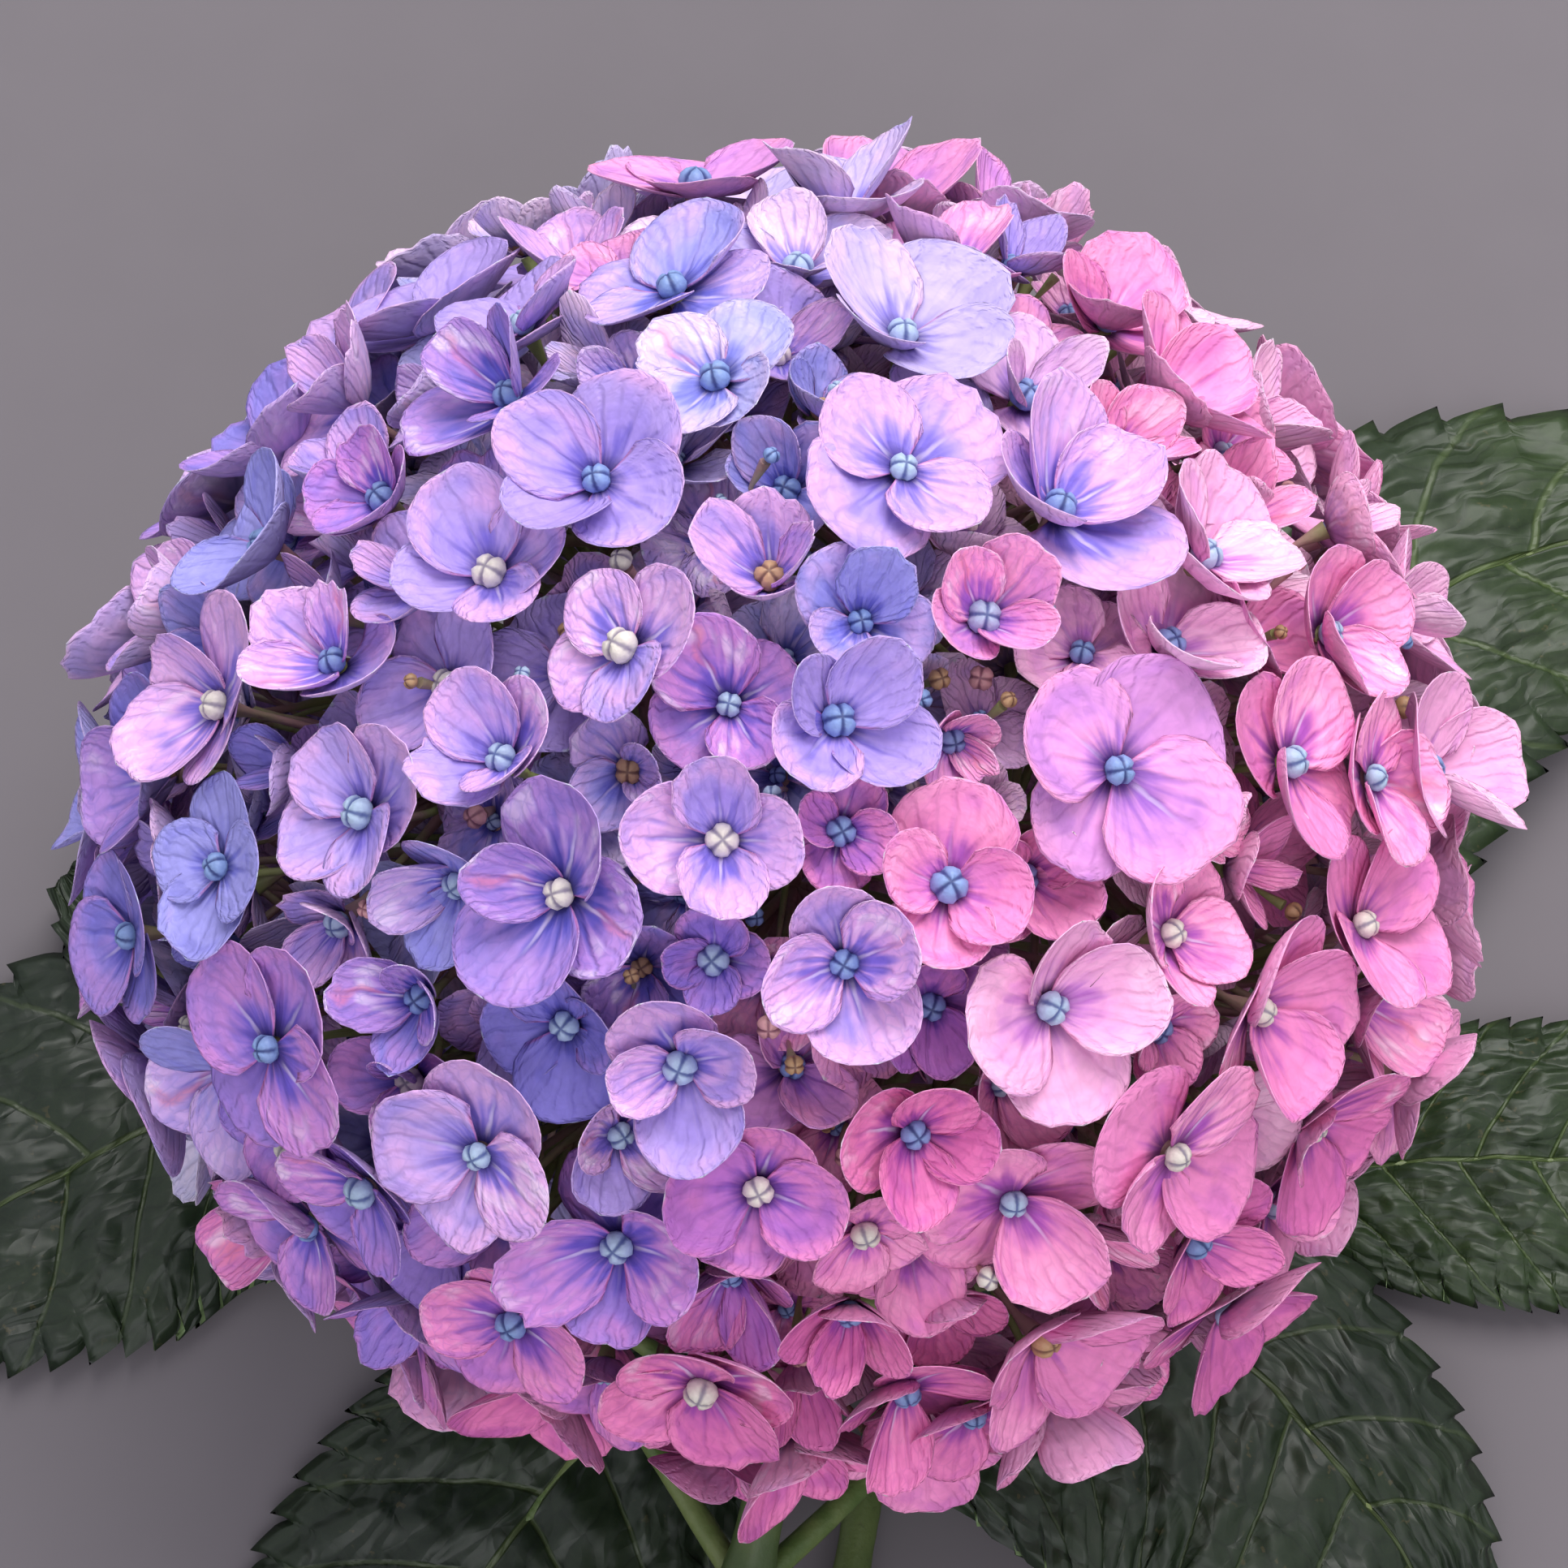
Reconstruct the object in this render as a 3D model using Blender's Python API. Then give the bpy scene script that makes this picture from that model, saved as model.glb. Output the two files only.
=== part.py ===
"""A cut flowering shoot of a bigleaf hydrangea, lying down: one mophead bloom on its stem, a leafy side shoot and
six leaves. Metres, +Z up, the surface that it lies on at Z = 0. The bloom is at +Y and the cut ends are at -Y."""

import math
import random

import bmesh
import bpy
from mathutils import Matrix, Vector
from mathutils.bvhtree import BVHTree

MM = 0.001

# The bloom: a slightly flattened ball, open round its stalk.
BLOOM_CENTRE = Vector((-5.5, 50.0, 96.0)) * MM
BLOOM_TILT = math.radians(40)  # its axis points to +Y and this far up
EYE_RADIUS = 92.5 * MM  # across the axis, to the middle of a floret
EYE_HEIGHT = 88.0 * MM  # along the axis
OPENING = math.radians(147.5)  # florets grow from the top of the ball down to this angle
CORE_SHARE = 0.76  # the packed inside of the ball, as a share of the florets' own radius
STALK_REACH = 84.0 * MM  # from the bloom's centre to where its stalk meets the stem
CORE_SEGMENTS = 18
RAYS = 9  # branches that show in the opening
RAY_RADII = (1.9 * MM, 1.7 * MM, 1.4 * MM)
REST_HEIGHT = 0.02 * MM  # the lowest florets end this far above the surface
BLOOM_SEED = 29

# The florets: four broad sepals round a bud. Spreads are shares of the size, angles are in degrees.
FLORET_COUNT = 194
FLORET_RADIUS = 14.4 * MM
FLORET_JITTER = 0.035  # of each place, in radians
FLORET_LIFTS = (-4.5 * MM, 2.0 * MM)
FLORET_LEAN = 0.17
FLORET_SIZE_SPREAD, FLORET_SIZE_LIMITS = 0.11, (-0.24, 0.16)
SEPAL_PAIR_SPREAD, SEPAL_SPREAD = 0.09, 0.06
CUP_MEAN, CUP_SPREAD, CUP_LIMITS = 20, 9, (6, 44)
FLORET_TOP, FLORET_UNDER = 0.8 * MM, 1.1 * MM  # its middle above and below the eye
FLORET_STALK = 1.0 * MM
STALK_FLARE = 1.5  # how much wider the stalk is under the floret
CLEARANCE = 1.2 * MM  # florets stay this far from leaves and stems

# The stems and leaves.
JOINT_GAP = 0.3 * MM  # between a piece and what carries it
STEM_SIDES = 10
MAIN_STEM_RINGS = 36
SIDE_STEM_RINGS = 24
CURVE_STEPS = 30  # between each two points of a route
NODE_LENGTH = 4.5 * MM  # how far a stem swells each way from where leaves grow
LEAF_THICKNESS = 1.7 * MM
TEETH = 13  # along each side of a leaf
PETIOLE_RADIUS = 2.1 * MM
PETIOLE_SIDES = 6
RIB_RINGS = 11
RIB_END = 0.45  # the midrib's last radius as a share of the petiole's

UP = Vector((0, 0, 1))
BLOOM_AXIS = Vector((0, math.cos(BLOOM_TILT), math.sin(BLOOM_TILT)))
PLAN = Vector((BLOOM_CENTRE.x, BLOOM_CENTRE.y, 0))  # routes are measured from the point under the bloom


def route(*points):
    """Points given in millimetres from the spot under the bloom, as vectors in metres."""
    return [PLAN + Vector(p) * MM for p in points]


STALK_END = BLOOM_CENTRE - BLOOM_AXIS * STALK_REACH
UPPER_NODE = STALK_END - BLOOM_AXIS * 12 * MM  # the first pair of leaves is this far under the bloom's stalk
FORK, LOWER_NODE, SIDE_NODE = route((-7, -148, 6.2), (-4.6, -94, 22.5), (21, -50, 4.6))

MAIN_STEM_ROUTE = [
    *route((-11, -206, 4.8), (-8.5, -176, 4.9)),
    FORK,
    *route((-6, -119, 11.8)),
    LOWER_NODE,
    UPPER_NODE,
    STALK_END - BLOOM_AXIS * 5 * MM,
    STALK_END - BLOOM_AXIS * JOINT_GAP,
]
MAIN_STEM_RADII = (4.5 * MM, 3.2 * MM)
MAIN_STEM_NODES = ((FORK, 1.42), (LOWER_NODE, 1.45), (UPPER_NODE, 1.35))  # place and swelling

SIDE_STEM_ROUTE = [FORK, *route((0, -133, 6.2), (9, -98, 5.2), (14.5, -70, 4.6)), SIDE_NODE, *route((23, -40, 5))]
SIDE_STEM_RADII = (3.3 * MM, 2.6 * MM)
SIDE_STEM_NODES = ((SIDE_NODE, 1.35),)
SIDE_BUD = 0.07  # the share of the side stem's length that narrows to a bud

# Each leaf: the stem and node that bear it, the routes of its petiole and of its midrib in millimetres, the widths
# of its left and right halves, how far it is rolled down to the right, and how far its halves fold up.
LEAVES = {
    "leaf_left": ("main_stem", LOWER_NODE, ((-23, -64, 15),),
                  ((-42, -36, 9), (-76, -13, 8), (-112, -27, 7), (-151, -50, 2.5)), (31, 36), 0, 4),
    "leaf_right": ("side_stem", SIDE_NODE, ((46, -39, 4.6),),
                   ((74, -28, 4.6), (112, -24, 7), (166, -27, 2.5)), (23, 23), 0, 5),
    "leaf_lower_left": ("side_stem", SIDE_NODE, ((6, -42, 5),),
                        ((-9, -44, 5), (-43, -87, 6.5), (-80, -142, 2.5)), (32, 32), 0, 5),
    "leaf_lower_right": ("main_stem", UPPER_NODE, ((6, -68.5, 30),),
                         ((13, -62, 27), (60, -55, 22), (84, -75, 17), (104, -101, 3)), (27, 44), -8, 4),
    "leaf_upper_left": ("main_stem", UPPER_NODE, ((-19, -58, 25),),
                        ((-38, -42, 14), (-76, -5, 16), (-113, 23, 7)), (21, 21), 0, 5),
    "leaf_upper_right": ("main_stem", LOWER_NODE, ((18, -70, 13.5), (34, -44, 11)),
                         ((46, -20, 10), (86, 49, 13), (117, 75, 9.5), (163, 86, 2.5)), (36, 34), -3, 5),
}

COLOURS = {
    "bloom": ((0.50, 0.28, 0.56), 0.55),
    "stem": ((0.16, 0.24, 0.08), 0.5),
    "leaf": ((0.035, 0.085, 0.03), 0.4),
}


def clear_scene():
    for obj in list(bpy.data.objects):
        bpy.data.objects.remove(obj, do_unlink=True)


def material(name):
    """A Principled BSDF with the piece's colour and roughness."""
    made = bpy.data.materials.new(name)
    made.use_nodes = True
    shader = made.node_tree.nodes["Principled BSDF"]
    colour, roughness = COLOURS[name]
    shader.inputs["Base Color"].default_value = (*colour, 1)
    shader.inputs["Roughness"].default_value = roughness
    shader.inputs["Metallic"].default_value = 0
    return made


def add_object(name, points, faces, finish):
    """A mesh object with its normals facing out."""
    mesh = bpy.data.meshes.new(name)
    mesh.from_pydata([tuple(p) for p in points], [], faces)
    shape = bmesh.new()
    shape.from_mesh(mesh)
    bmesh.ops.recalc_face_normals(shape, faces=shape.faces)
    shape.to_mesh(mesh)
    shape.free()
    obj = bpy.data.objects.new(name, mesh)
    bpy.context.scene.collection.objects.link(obj)
    mesh.materials.append(finish)
    return obj


def smooth_line(points):
    """A smooth curve through the points, with the same number of steps between each two."""
    ends = [2 * points[0] - points[1], *points, 2 * points[-1] - points[-2]]
    found = []
    for k in range(len(points) - 1):
        a, b, c, d = ends[k : k + 4]
        for i in range(CURVE_STEPS):
            t = i / CURVE_STEPS
            bend = (2 * a - 5 * b + 4 * c - d) * t**2 + (3 * b - a - 3 * c + d) * t**3
            found.append(0.5 * (2 * b + (c - a) * t + bend))
    return [*found, points[-1]]


def even_line(line, count):
    """The same line as points at even distances."""
    lengths = [0.0]
    for a, b in zip(line, line[1:]):
        lengths.append(lengths[-1] + (b - a).length)
    found, k = [], 0
    for i in range(count):
        wanted = lengths[-1] * i / (count - 1)
        while k < len(line) - 2 and lengths[k + 1] < wanted:
            k += 1
        share = (wanted - lengths[k]) / (lengths[k + 1] - lengths[k])
        found.append(line[k].lerp(line[k + 1], min(max(share, 0), 1)))
    return found


def directions(line):
    """The direction of the line at each of its points."""
    last = len(line) - 1
    return [(line[min(i + 1, last)] - line[max(i - 1, 0)]).normalized() for i in range(len(line))]


def tube(name, line, radii, sides, finish):
    """A closed tube of changing radius along a line of points."""
    points, faces = [], []
    side = directions(line)[0].orthogonal().normalized()
    for centre, along, radius in zip(line, directions(line), radii):
        side = (side - along * side.dot(along)).normalized()
        other = along.cross(side)
        for k in range(sides):
            turn = math.tau * k / sides
            points.append(centre + (side * math.cos(turn) + other * math.sin(turn)) * radius)
    for i in range(len(line) - 1):
        for k in range(sides):
            a, b = i * sides + k, i * sides + (k + 1) % sides
            faces.append((a, b, b + sides, a + sides))
    faces.append(tuple(range(sides)))
    faces.append(tuple(range(len(points) - sides, len(points))))
    return add_object(name, points, faces, finish)


def stem_radii(line, ends, nodes, bud):
    """An even taper that swells at the nodes, where leaves grow, and may narrow to a bud at the far end."""
    found = []
    for i, point in enumerate(line):
        place = i / (len(line) - 1)
        swelling = sum((size - 1) * math.exp(-(((point - at).length / NODE_LENGTH) ** 2)) for at, size in nodes)
        closing = max(0.0, place - 1 + bud) / bud if bud else 0.0
        found.append((ends[0] + (ends[1] - ends[0]) * place) * (1 + swelling) * (1 - 0.75 * closing**2))
    return found


def stem(name, points, ends, nodes, count, finish, bud=0.0, extra=0.0):
    line = even_line(smooth_line(points), count)
    radii = [radius + extra for radius in stem_radii(line, ends, nodes, bud)]
    return tube(name, line, radii, STEM_SIDES, finish)


def join(name, pieces, solver):
    """One solid from the pieces, by a Boolean union that is applied."""
    base, others = pieces[0], pieces[1:]
    group = bpy.data.collections.new(name + "_pieces")
    bpy.context.scene.collection.children.link(group)
    for piece in others:
        bpy.context.scene.collection.objects.unlink(piece)
        group.objects.link(piece)
    union = base.modifiers.new("union", "BOOLEAN")
    union.operation = "UNION"
    union.operand_type = "COLLECTION"
    union.collection = group
    union.solver = solver
    apply_modifiers(base)
    for piece in others:
        bpy.data.objects.remove(piece, do_unlink=True)
    bpy.data.collections.remove(group)
    base.name = name
    return base


def trim(obj, cutter):
    """Cuts the cutter's shape out of the object."""
    cut = obj.modifiers.new("trim", "BOOLEAN")
    cut.operation = "DIFFERENCE"
    cut.object = cutter
    cut.solver = "EXACT"
    apply_modifiers(obj)


def apply_modifiers(obj):
    graph = bpy.context.evaluated_depsgraph_get()
    graph.update()
    finished = bpy.data.meshes.new_from_object(obj.evaluated_get(graph))
    obj.modifiers.clear()
    obj.data = finished


def blade_width(place):
    """Half the blade's width as a share of its widest, from base to tip: broad, with a short point."""
    rise, fall = 0.6, 0.68
    widest = rise / (rise + fall)
    peak = widest**rise * (1 - widest) ** fall
    return max(place, 0.0) ** rise * max(1 - place, 0.0) ** fall / peak


def leaf_blade(name, line, halves, roll, fold, finish):
    """The blade along its midrib, with toothed sides. Rows run from base to tip, and each has five points."""
    rows = len(line)
    across = (-1.0, -0.5, 0.0, 0.5, 1.0)
    tooth_depth, tooth_lean, least_half = 0.045, 0.6, 0.7 * MM
    step = (line[1] - line[0]).length
    tops, bottoms = [], []
    for i, (centre, along) in enumerate(zip(line, directions(line))):
        place = i / (rows - 1)
        side = along.cross(UP).normalized()
        side = Matrix.Rotation(math.radians(roll), 3, along) @ side
        normal = side.cross(along).normalized()
        share = blade_width(0.02 + 0.97 * place)
        tip_of_tooth = i % 2 == 1
        for t in across:
            widest = halves[t > 0] * MM
            reach = max(share * widest, least_half) * abs(t)
            if abs(t) == 1:
                reach *= 1 + (tooth_depth if tip_of_tooth else -tooth_depth)
            rise = reach * math.sin(math.radians(fold)) - reach**2 / (widest * 5)
            lean = along * step * tooth_lean * (abs(t) == 1 and tip_of_tooth and 0 < i < rows - 1)
            point = centre + side * math.copysign(reach, t) * (t != 0) + normal * rise + lean
            tops.append(point + normal * LEAF_THICKNESS / 2)
            bottoms.append(point - normal * LEAF_THICKNESS / 2)
    return slab(name, tops, bottoms, rows, len(across), finish)


def slab(name, tops, bottoms, rows, columns, finish):
    """A closed slab between two grids of points."""
    below = len(tops)
    faces = []
    for i in range(rows - 1):
        for j in range(columns - 1):
            a = i * columns + j
            quad = (a, a + 1, a + columns + 1, a + columns)
            faces.append(quad)
            faces.append(tuple(below + v for v in reversed(quad)))
    rim = [j for j in range(columns)]
    rim += [i * columns + columns - 1 for i in range(1, rows)]
    rim += [(rows - 1) * columns + j for j in range(columns - 2, -1, -1)]
    rim += [i * columns for i in range(rows - 2, 0, -1)]
    for a, b in zip(rim, rim[1:] + rim[:1]):
        faces.append((a, below + a, below + b, b))
    return add_object(name, tops + bottoms, faces, finish)


def leaf(name, carrier, node, petiole_points, blade_points, halves, roll, fold, finish):
    """A blade with its petiole and midrib, trimmed clear of the stem that carries it."""
    line = smooth_line([node, *route(*petiole_points), *route(*blade_points)])
    base = CURVE_STEPS * (1 + len(petiole_points))
    blade = leaf_blade(name + "_blade", even_line(line[base:], 2 * TEETH + 1), halves, roll, fold, finish)
    rib_line = even_line(line[: base + CURVE_STEPS], RIB_RINGS)
    rib_radii = [PETIOLE_RADIUS * (1 - (1 - RIB_END) * (i / (RIB_RINGS - 1)) ** 2) for i in range(RIB_RINGS)]
    petiole = tube(name + "_petiole", rib_line, rib_radii, PETIOLE_SIDES, finish)
    made = join(name, [blade, petiole], "EXACT")
    trim(made, carrier)
    return made


def bloom_frame(polar, turn):
    """The direction from the bloom's centre at an angle from its top and a turn about its axis."""
    across = Vector((1, 0, 0))
    back = BLOOM_AXIS.cross(across)
    return BLOOM_AXIS * math.cos(polar) + (across * math.cos(turn) + back * math.sin(turn)) * math.sin(polar)


def swell(polar, turn):
    """How far the ball bulges or dips there, because its branches end at uneven heights."""
    return 1 + 0.018 * math.sin(3 * turn + 2.2 * polar) + 0.014 * math.sin(5 * polar - 2 * turn + 1)


def surface(polar, turn):
    """Distance from the bloom's centre to the layer of florets."""
    return swell(polar, turn) / math.hypot(math.sin(polar) / EYE_RADIUS, math.cos(polar) / EYE_HEIGHT)


def limited(value, limits):
    return min(max(value, limits[0]), limits[1])


def floret_places():
    """Where the florets sit: an even spiral over the ball with seeded jitter. Each is its eye, the way it faces,
    its spin, the four sepal lengths and how far they cup."""
    rng = random.Random(BLOOM_SEED)
    golden = math.pi * (3 - math.sqrt(5))
    depth = 1 - math.cos(OPENING)
    places = []
    for i in range(FLORET_COUNT):
        polar = math.acos(1 - depth * (i + 0.5) / FLORET_COUNT) + rng.uniform(-FLORET_JITTER, FLORET_JITTER)
        turn = i * golden + rng.uniform(-FLORET_JITTER, FLORET_JITTER) / max(math.sin(polar), 0.3)
        out = bloom_frame(polar, turn)
        eye = BLOOM_CENTRE + out * (surface(polar, turn) + rng.uniform(*FLORET_LIFTS))
        lean = Vector((rng.gauss(0, 1), rng.gauss(0, 1), rng.gauss(0, 1))) * FLORET_LEAN
        face = (out + lean - out * lean.dot(out) + BLOOM_AXIS * 0.1 * math.sin(polar)).normalized()
        spin = rng.uniform(0, math.tau)
        size = FLORET_RADIUS * (1 + limited(rng.gauss(0, FLORET_SIZE_SPREAD), FLORET_SIZE_LIMITS))
        pair = rng.uniform(-SEPAL_PAIR_SPREAD, SEPAL_PAIR_SPREAD)
        sepals = [size * (1 + pair * (-1) ** k + rng.uniform(-SEPAL_SPREAD, SEPAL_SPREAD)) for k in range(4)]
        cup = math.radians(limited(rng.gauss(CUP_MEAN, CUP_SPREAD), CUP_LIMITS))
        places.append((eye, face, spin, sepals, cup))
    return places


def floret_points(eye, face, spin, sepals, cup):
    """The rim of a floret, three points to a sepal and one between each two, then its middle and its stalk's top."""
    side = face.orthogonal().normalized()
    side = Matrix.Rotation(spin, 3, face) @ side
    other = face.cross(side)
    shoulder, notch_share, shoulder_share = math.radians(24), 0.76, 0.98
    rim = []
    for k, length in enumerate(sepals):
        middle = math.radians(90 * k)
        beside = min(length, sepals[k - 1])
        for turn, reach in (
            (middle - math.radians(45), beside * notch_share),
            (middle - shoulder, length * shoulder_share),
            (middle + shoulder, length * shoulder_share),
        ):
            rise = reach * math.sin(cup) * (reach / length) ** 0.4
            flat = reach * math.cos(cup)
            rim.append(eye + (side * math.cos(turn) + other * math.sin(turn)) * flat + face * rise)
    stalk_top = []
    for k in range(3):
        turn = math.radians(120 * k + 15)
        ring = (side * math.cos(turn) + other * math.sin(turn)) * FLORET_STALK * STALK_FLARE
        stalk_top.append(eye + ring - face * FLORET_UNDER)
    return rim, eye + face * FLORET_TOP, stalk_top


def floret_solid(index, place, core_end, finish):
    """A thin cupped floret that narrows under its middle to a three-sided stalk, which is sunk into the core."""
    rim, top, stalk_top = floret_points(*place)
    count, sides = len(rim), len(stalk_top)
    stalk_end = [core_end + (p - place[0]) / STALK_FLARE for p in stalk_top]
    middle, ring, end = count, count + 1, count + 1 + sides
    faces = []
    for k in range(count):
        after = (k + 1) % count
        here, there = k * sides // count, after * sides // count
        faces.append((k, after, middle))
        faces.append((after, k, ring + here))
        if here != there:
            faces.append((after, ring + here, ring + there))
    for k in range(sides):
        after = (k + 1) % sides
        faces.append((ring + k, end + k, end + after, ring + after))
    faces.append(tuple(end + k for k in range(sides)))
    return add_object(f"floret_{index}", [*rim, top, *stalk_top, *stalk_end], faces, finish)


def settle(place):
    """Presses a floret under the ball inwards until it rests on the surface that the bloom lies on."""
    eye, face, spin, sepals, cup = place
    rim, _, stalk_top = floret_points(*place)
    dip = REST_HEIGHT - min(p.z for p in (*rim, *stalk_top))
    if dip <= 0:
        return place
    return (eye + UP * dip, face, spin, sepals, cup)


def touches(place, obstacles):
    """Whether a floret meets a stem or a leaf, or comes very near to one."""
    rim, top, stalk_top = floret_points(*place)
    for point in (*rim, top, *stalk_top, *[p.lerp(place[0], 0.5) for p in rim]):
        for tree in obstacles:
            found = tree.find_nearest(point)
            if found[0] is not None and (found[0] - point).length < CLEARANCE:
                return True
    count = len(rim)
    fan = [(k, (k + 1) % count, count) for k in range(count)]
    own = BVHTree.FromPolygons([*rim, top], fan)
    return any(own.overlap(tree) for tree in obstacles)


def core_and_stalk(finish):
    """The packed inside of the ball, which narrows to the bloom's stalk. It is turned about the bloom's axis."""
    segments, stalk_radius = CORE_SEGMENTS, 3.4 * MM
    profile = [(stalk_radius, -STALK_REACH), (stalk_radius, -STALK_REACH + 8 * MM), (6 * MM, -66 * MM)]
    for step in range(8):
        polar = math.radians(136 - step * 17)
        reach = CORE_SHARE / math.hypot(math.sin(polar) / EYE_RADIUS, math.cos(polar) / EYE_HEIGHT)
        profile.append((reach * math.sin(polar), reach * math.cos(polar)))
    across = Vector((1, 0, 0))
    back = BLOOM_AXIS.cross(across)
    points, faces = [], []
    for radius, height in profile:
        for k in range(segments):
            turn = math.tau * k / segments
            ring = (across * math.cos(turn) + back * math.sin(turn)) * radius
            points.append(BLOOM_CENTRE + BLOOM_AXIS * height + ring)
    for i in range(len(profile) - 1):
        for k in range(segments):
            a, b = i * segments + k, i * segments + (k + 1) % segments
            faces.append((a, b, b + segments, a + segments))
    faces.append(tuple(range(segments)))
    faces.append(tuple(range(len(points) - segments, len(points))))
    return add_object("core", points, faces, finish)


def main_rays(finish):
    """The branches that fan out from the stalk under the florets and show in the bloom's open underside."""
    start = BLOOM_CENTRE - BLOOM_AXIS * 72 * MM
    made = []
    for k in range(RAYS):
        turn = math.tau * (k + 0.3) / RAYS
        polar = math.radians(139)
        end = BLOOM_CENTRE + bloom_frame(polar, turn) * surface(polar, turn) * 0.86
        bow = start.lerp(end, 0.5) - BLOOM_AXIS * 4 * MM
        made.append(tube(f"ray_{k}", [start, bow, end], RAY_RADII, 5, finish))
    return made


def bloom(finish, obstacles):
    """Every floret and its stalk fused with the core into one solid."""
    trees = []
    for obj in obstacles:
        trees.append(BVHTree.FromPolygons([v.co.copy() for v in obj.data.vertices],
                                          [tuple(p.vertices) for p in obj.data.polygons]))
    pieces = [core_and_stalk(finish), *main_rays(finish)]
    for index, place in enumerate(floret_places()):
        place = settle(place)
        if touches(place, trees):
            continue
        out = place[0] - BLOOM_CENTRE
        core_end = BLOOM_CENTRE + out * CORE_SHARE * 0.9
        pieces.append(floret_solid(index, place, core_end, finish))
    return join("bloom", pieces, "MANIFOLD")


def main():
    clear_scene()
    finishes = {name: material(name) for name in COLOURS}
    shoot = bpy.data.objects.new("shoot", None)
    bpy.context.scene.collection.objects.link(shoot)

    green = finishes["stem"]
    main_sizes = (MAIN_STEM_ROUTE, MAIN_STEM_RADII, MAIN_STEM_NODES, MAIN_STEM_RINGS, green)
    side_sizes = (SIDE_STEM_ROUTE, SIDE_STEM_RADII, SIDE_STEM_NODES, SIDE_STEM_RINGS, green, SIDE_BUD)
    main_stem = stem("main_stem", *main_sizes)
    side_stem = stem("side_stem", *side_sizes)
    cutters = {
        "main_stem": stem("main_stem_cutter", *main_sizes, extra=JOINT_GAP),
        "side_stem": stem("side_stem_cutter", *side_sizes, extra=JOINT_GAP),
    }
    trim(side_stem, cutters["main_stem"])
    leaves = []
    for name, (carrier, *shape) in LEAVES.items():
        leaves.append(leaf(name, cutters[carrier], *shape, finishes["leaf"]))
    for cutter in cutters.values():
        bpy.data.objects.remove(cutter, do_unlink=True)

    flowers = bloom(finishes["bloom"], [main_stem, side_stem, *leaves])
    for obj in (main_stem, side_stem, flowers, *leaves):
        obj.parent = shoot
        obj.data.shade_smooth()
        obj.data.set_sharp_from_angle(angle=math.radians(40))
        print(obj.name, sum(len(p.vertices) - 2 for p in obj.data.polygons), "triangles")


main()
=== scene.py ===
# %% [markdown]
# # A cut shoot of bigleaf hydrangea
#
# The plant is one round head of flowers, a mophead, on a green stem with six dark toothed leaves. It was
# cut and it lies on a table. A frame of plain closed solids already gives every part its place and its
# size. Each step below dresses one kind of part: first its shape, then its finish. Lengths are in metres
# and +Z is up.

# %% Load the frame
import math
import random

import bpy
import numpy as np
from mathutils import Matrix, Vector, noise
from mathutils.bvhtree import BVHTree


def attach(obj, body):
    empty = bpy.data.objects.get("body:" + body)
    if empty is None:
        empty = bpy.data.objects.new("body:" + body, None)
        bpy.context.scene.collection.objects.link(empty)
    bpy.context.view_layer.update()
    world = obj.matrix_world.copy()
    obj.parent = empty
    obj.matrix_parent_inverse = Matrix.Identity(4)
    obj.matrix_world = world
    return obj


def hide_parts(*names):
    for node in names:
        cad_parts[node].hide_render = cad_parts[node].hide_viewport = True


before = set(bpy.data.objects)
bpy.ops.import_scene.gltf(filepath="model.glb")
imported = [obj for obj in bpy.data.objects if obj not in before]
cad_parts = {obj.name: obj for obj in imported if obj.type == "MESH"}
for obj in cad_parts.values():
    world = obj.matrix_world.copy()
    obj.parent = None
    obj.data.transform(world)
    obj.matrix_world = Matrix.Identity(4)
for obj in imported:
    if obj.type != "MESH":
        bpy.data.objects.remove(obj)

MM = 0.001
UP = Vector((0, 0, 1))
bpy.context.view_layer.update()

# %% [markdown]
# ## Nodes written as Python
#
# A material or a growth rule in Blender is a tree of nodes. Adding nodes one by one makes long code, so one
# small class adds any node from its type, its settings and its sockets. A second class wraps a socket, so
# that a sum such as `1 - mask` adds its Math node by itself. Reading the tree then feels like reading the
# maths.


# %% A node tree with one way to add a node
class Net:
    """A node tree. A node is given by its type, then its settings, then what its sockets hold."""

    def __init__(self, tree):
        self.tree = tree

    def node(self, kind, settings=None, sockets=None):
        made = self.tree.nodes.new(kind)
        for key, value in (settings or {}).items():
            setattr(made, key, value)
        for key, value in (sockets or {}).items():
            self.join(value, made.inputs[key])
        return made

    def join(self, value, socket):
        value = getattr(value, "socket", value)
        if isinstance(value, bpy.types.NodeSocket):
            self.tree.links.new(value, socket)
        else:
            socket.default_value = value


class Signal:
    """A socket that takes part in sums."""

    def __init__(self, net, socket):
        self.net = net
        self.socket = socket

    def maths(self, operation, *values):
        node = self.net.node("ShaderNodeMath", {"operation": operation}, dict(enumerate(values)))
        return Signal(self.net, node.outputs[0])

    def __add__(self, other):
        return self.maths("ADD", self, other)

    def __sub__(self, other):
        return self.maths("SUBTRACT", self, other)

    def __rsub__(self, other):
        return self.maths("SUBTRACT", other, self)

    def __mul__(self, other):
        return self.maths("MULTIPLY", self, other)

    def __pow__(self, other):
        return self.maths("POWER", self, other)

    __radd__ = __add__
    __rmul__ = __mul__

    def size(self):
        return self.maths("ABSOLUTE", self)

    def most(self, other):
        return self.maths("MAXIMUM", self, other)

    def from_whole(self):
        """How far the value is from the nearest whole number, 0 to 0.5."""
        return self.maths("PINGPONG", self, 0.5)

    def step(self, low, high):
        """A soft step, 0 below low and 1 above high. It falls instead where low is above high."""
        settings = {"interpolation_type": "SMOOTHSTEP"}
        if low > high:
            sockets = {0: self, 1: high, 2: low, 3: 1.0, 4: 0.0}
        else:
            sockets = {0: self, 1: low, 2: high, 3: 0.0, 4: 1.0}
        return Signal(self.net, self.net.node("ShaderNodeMapRange", settings, sockets).outputs[0])


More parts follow.
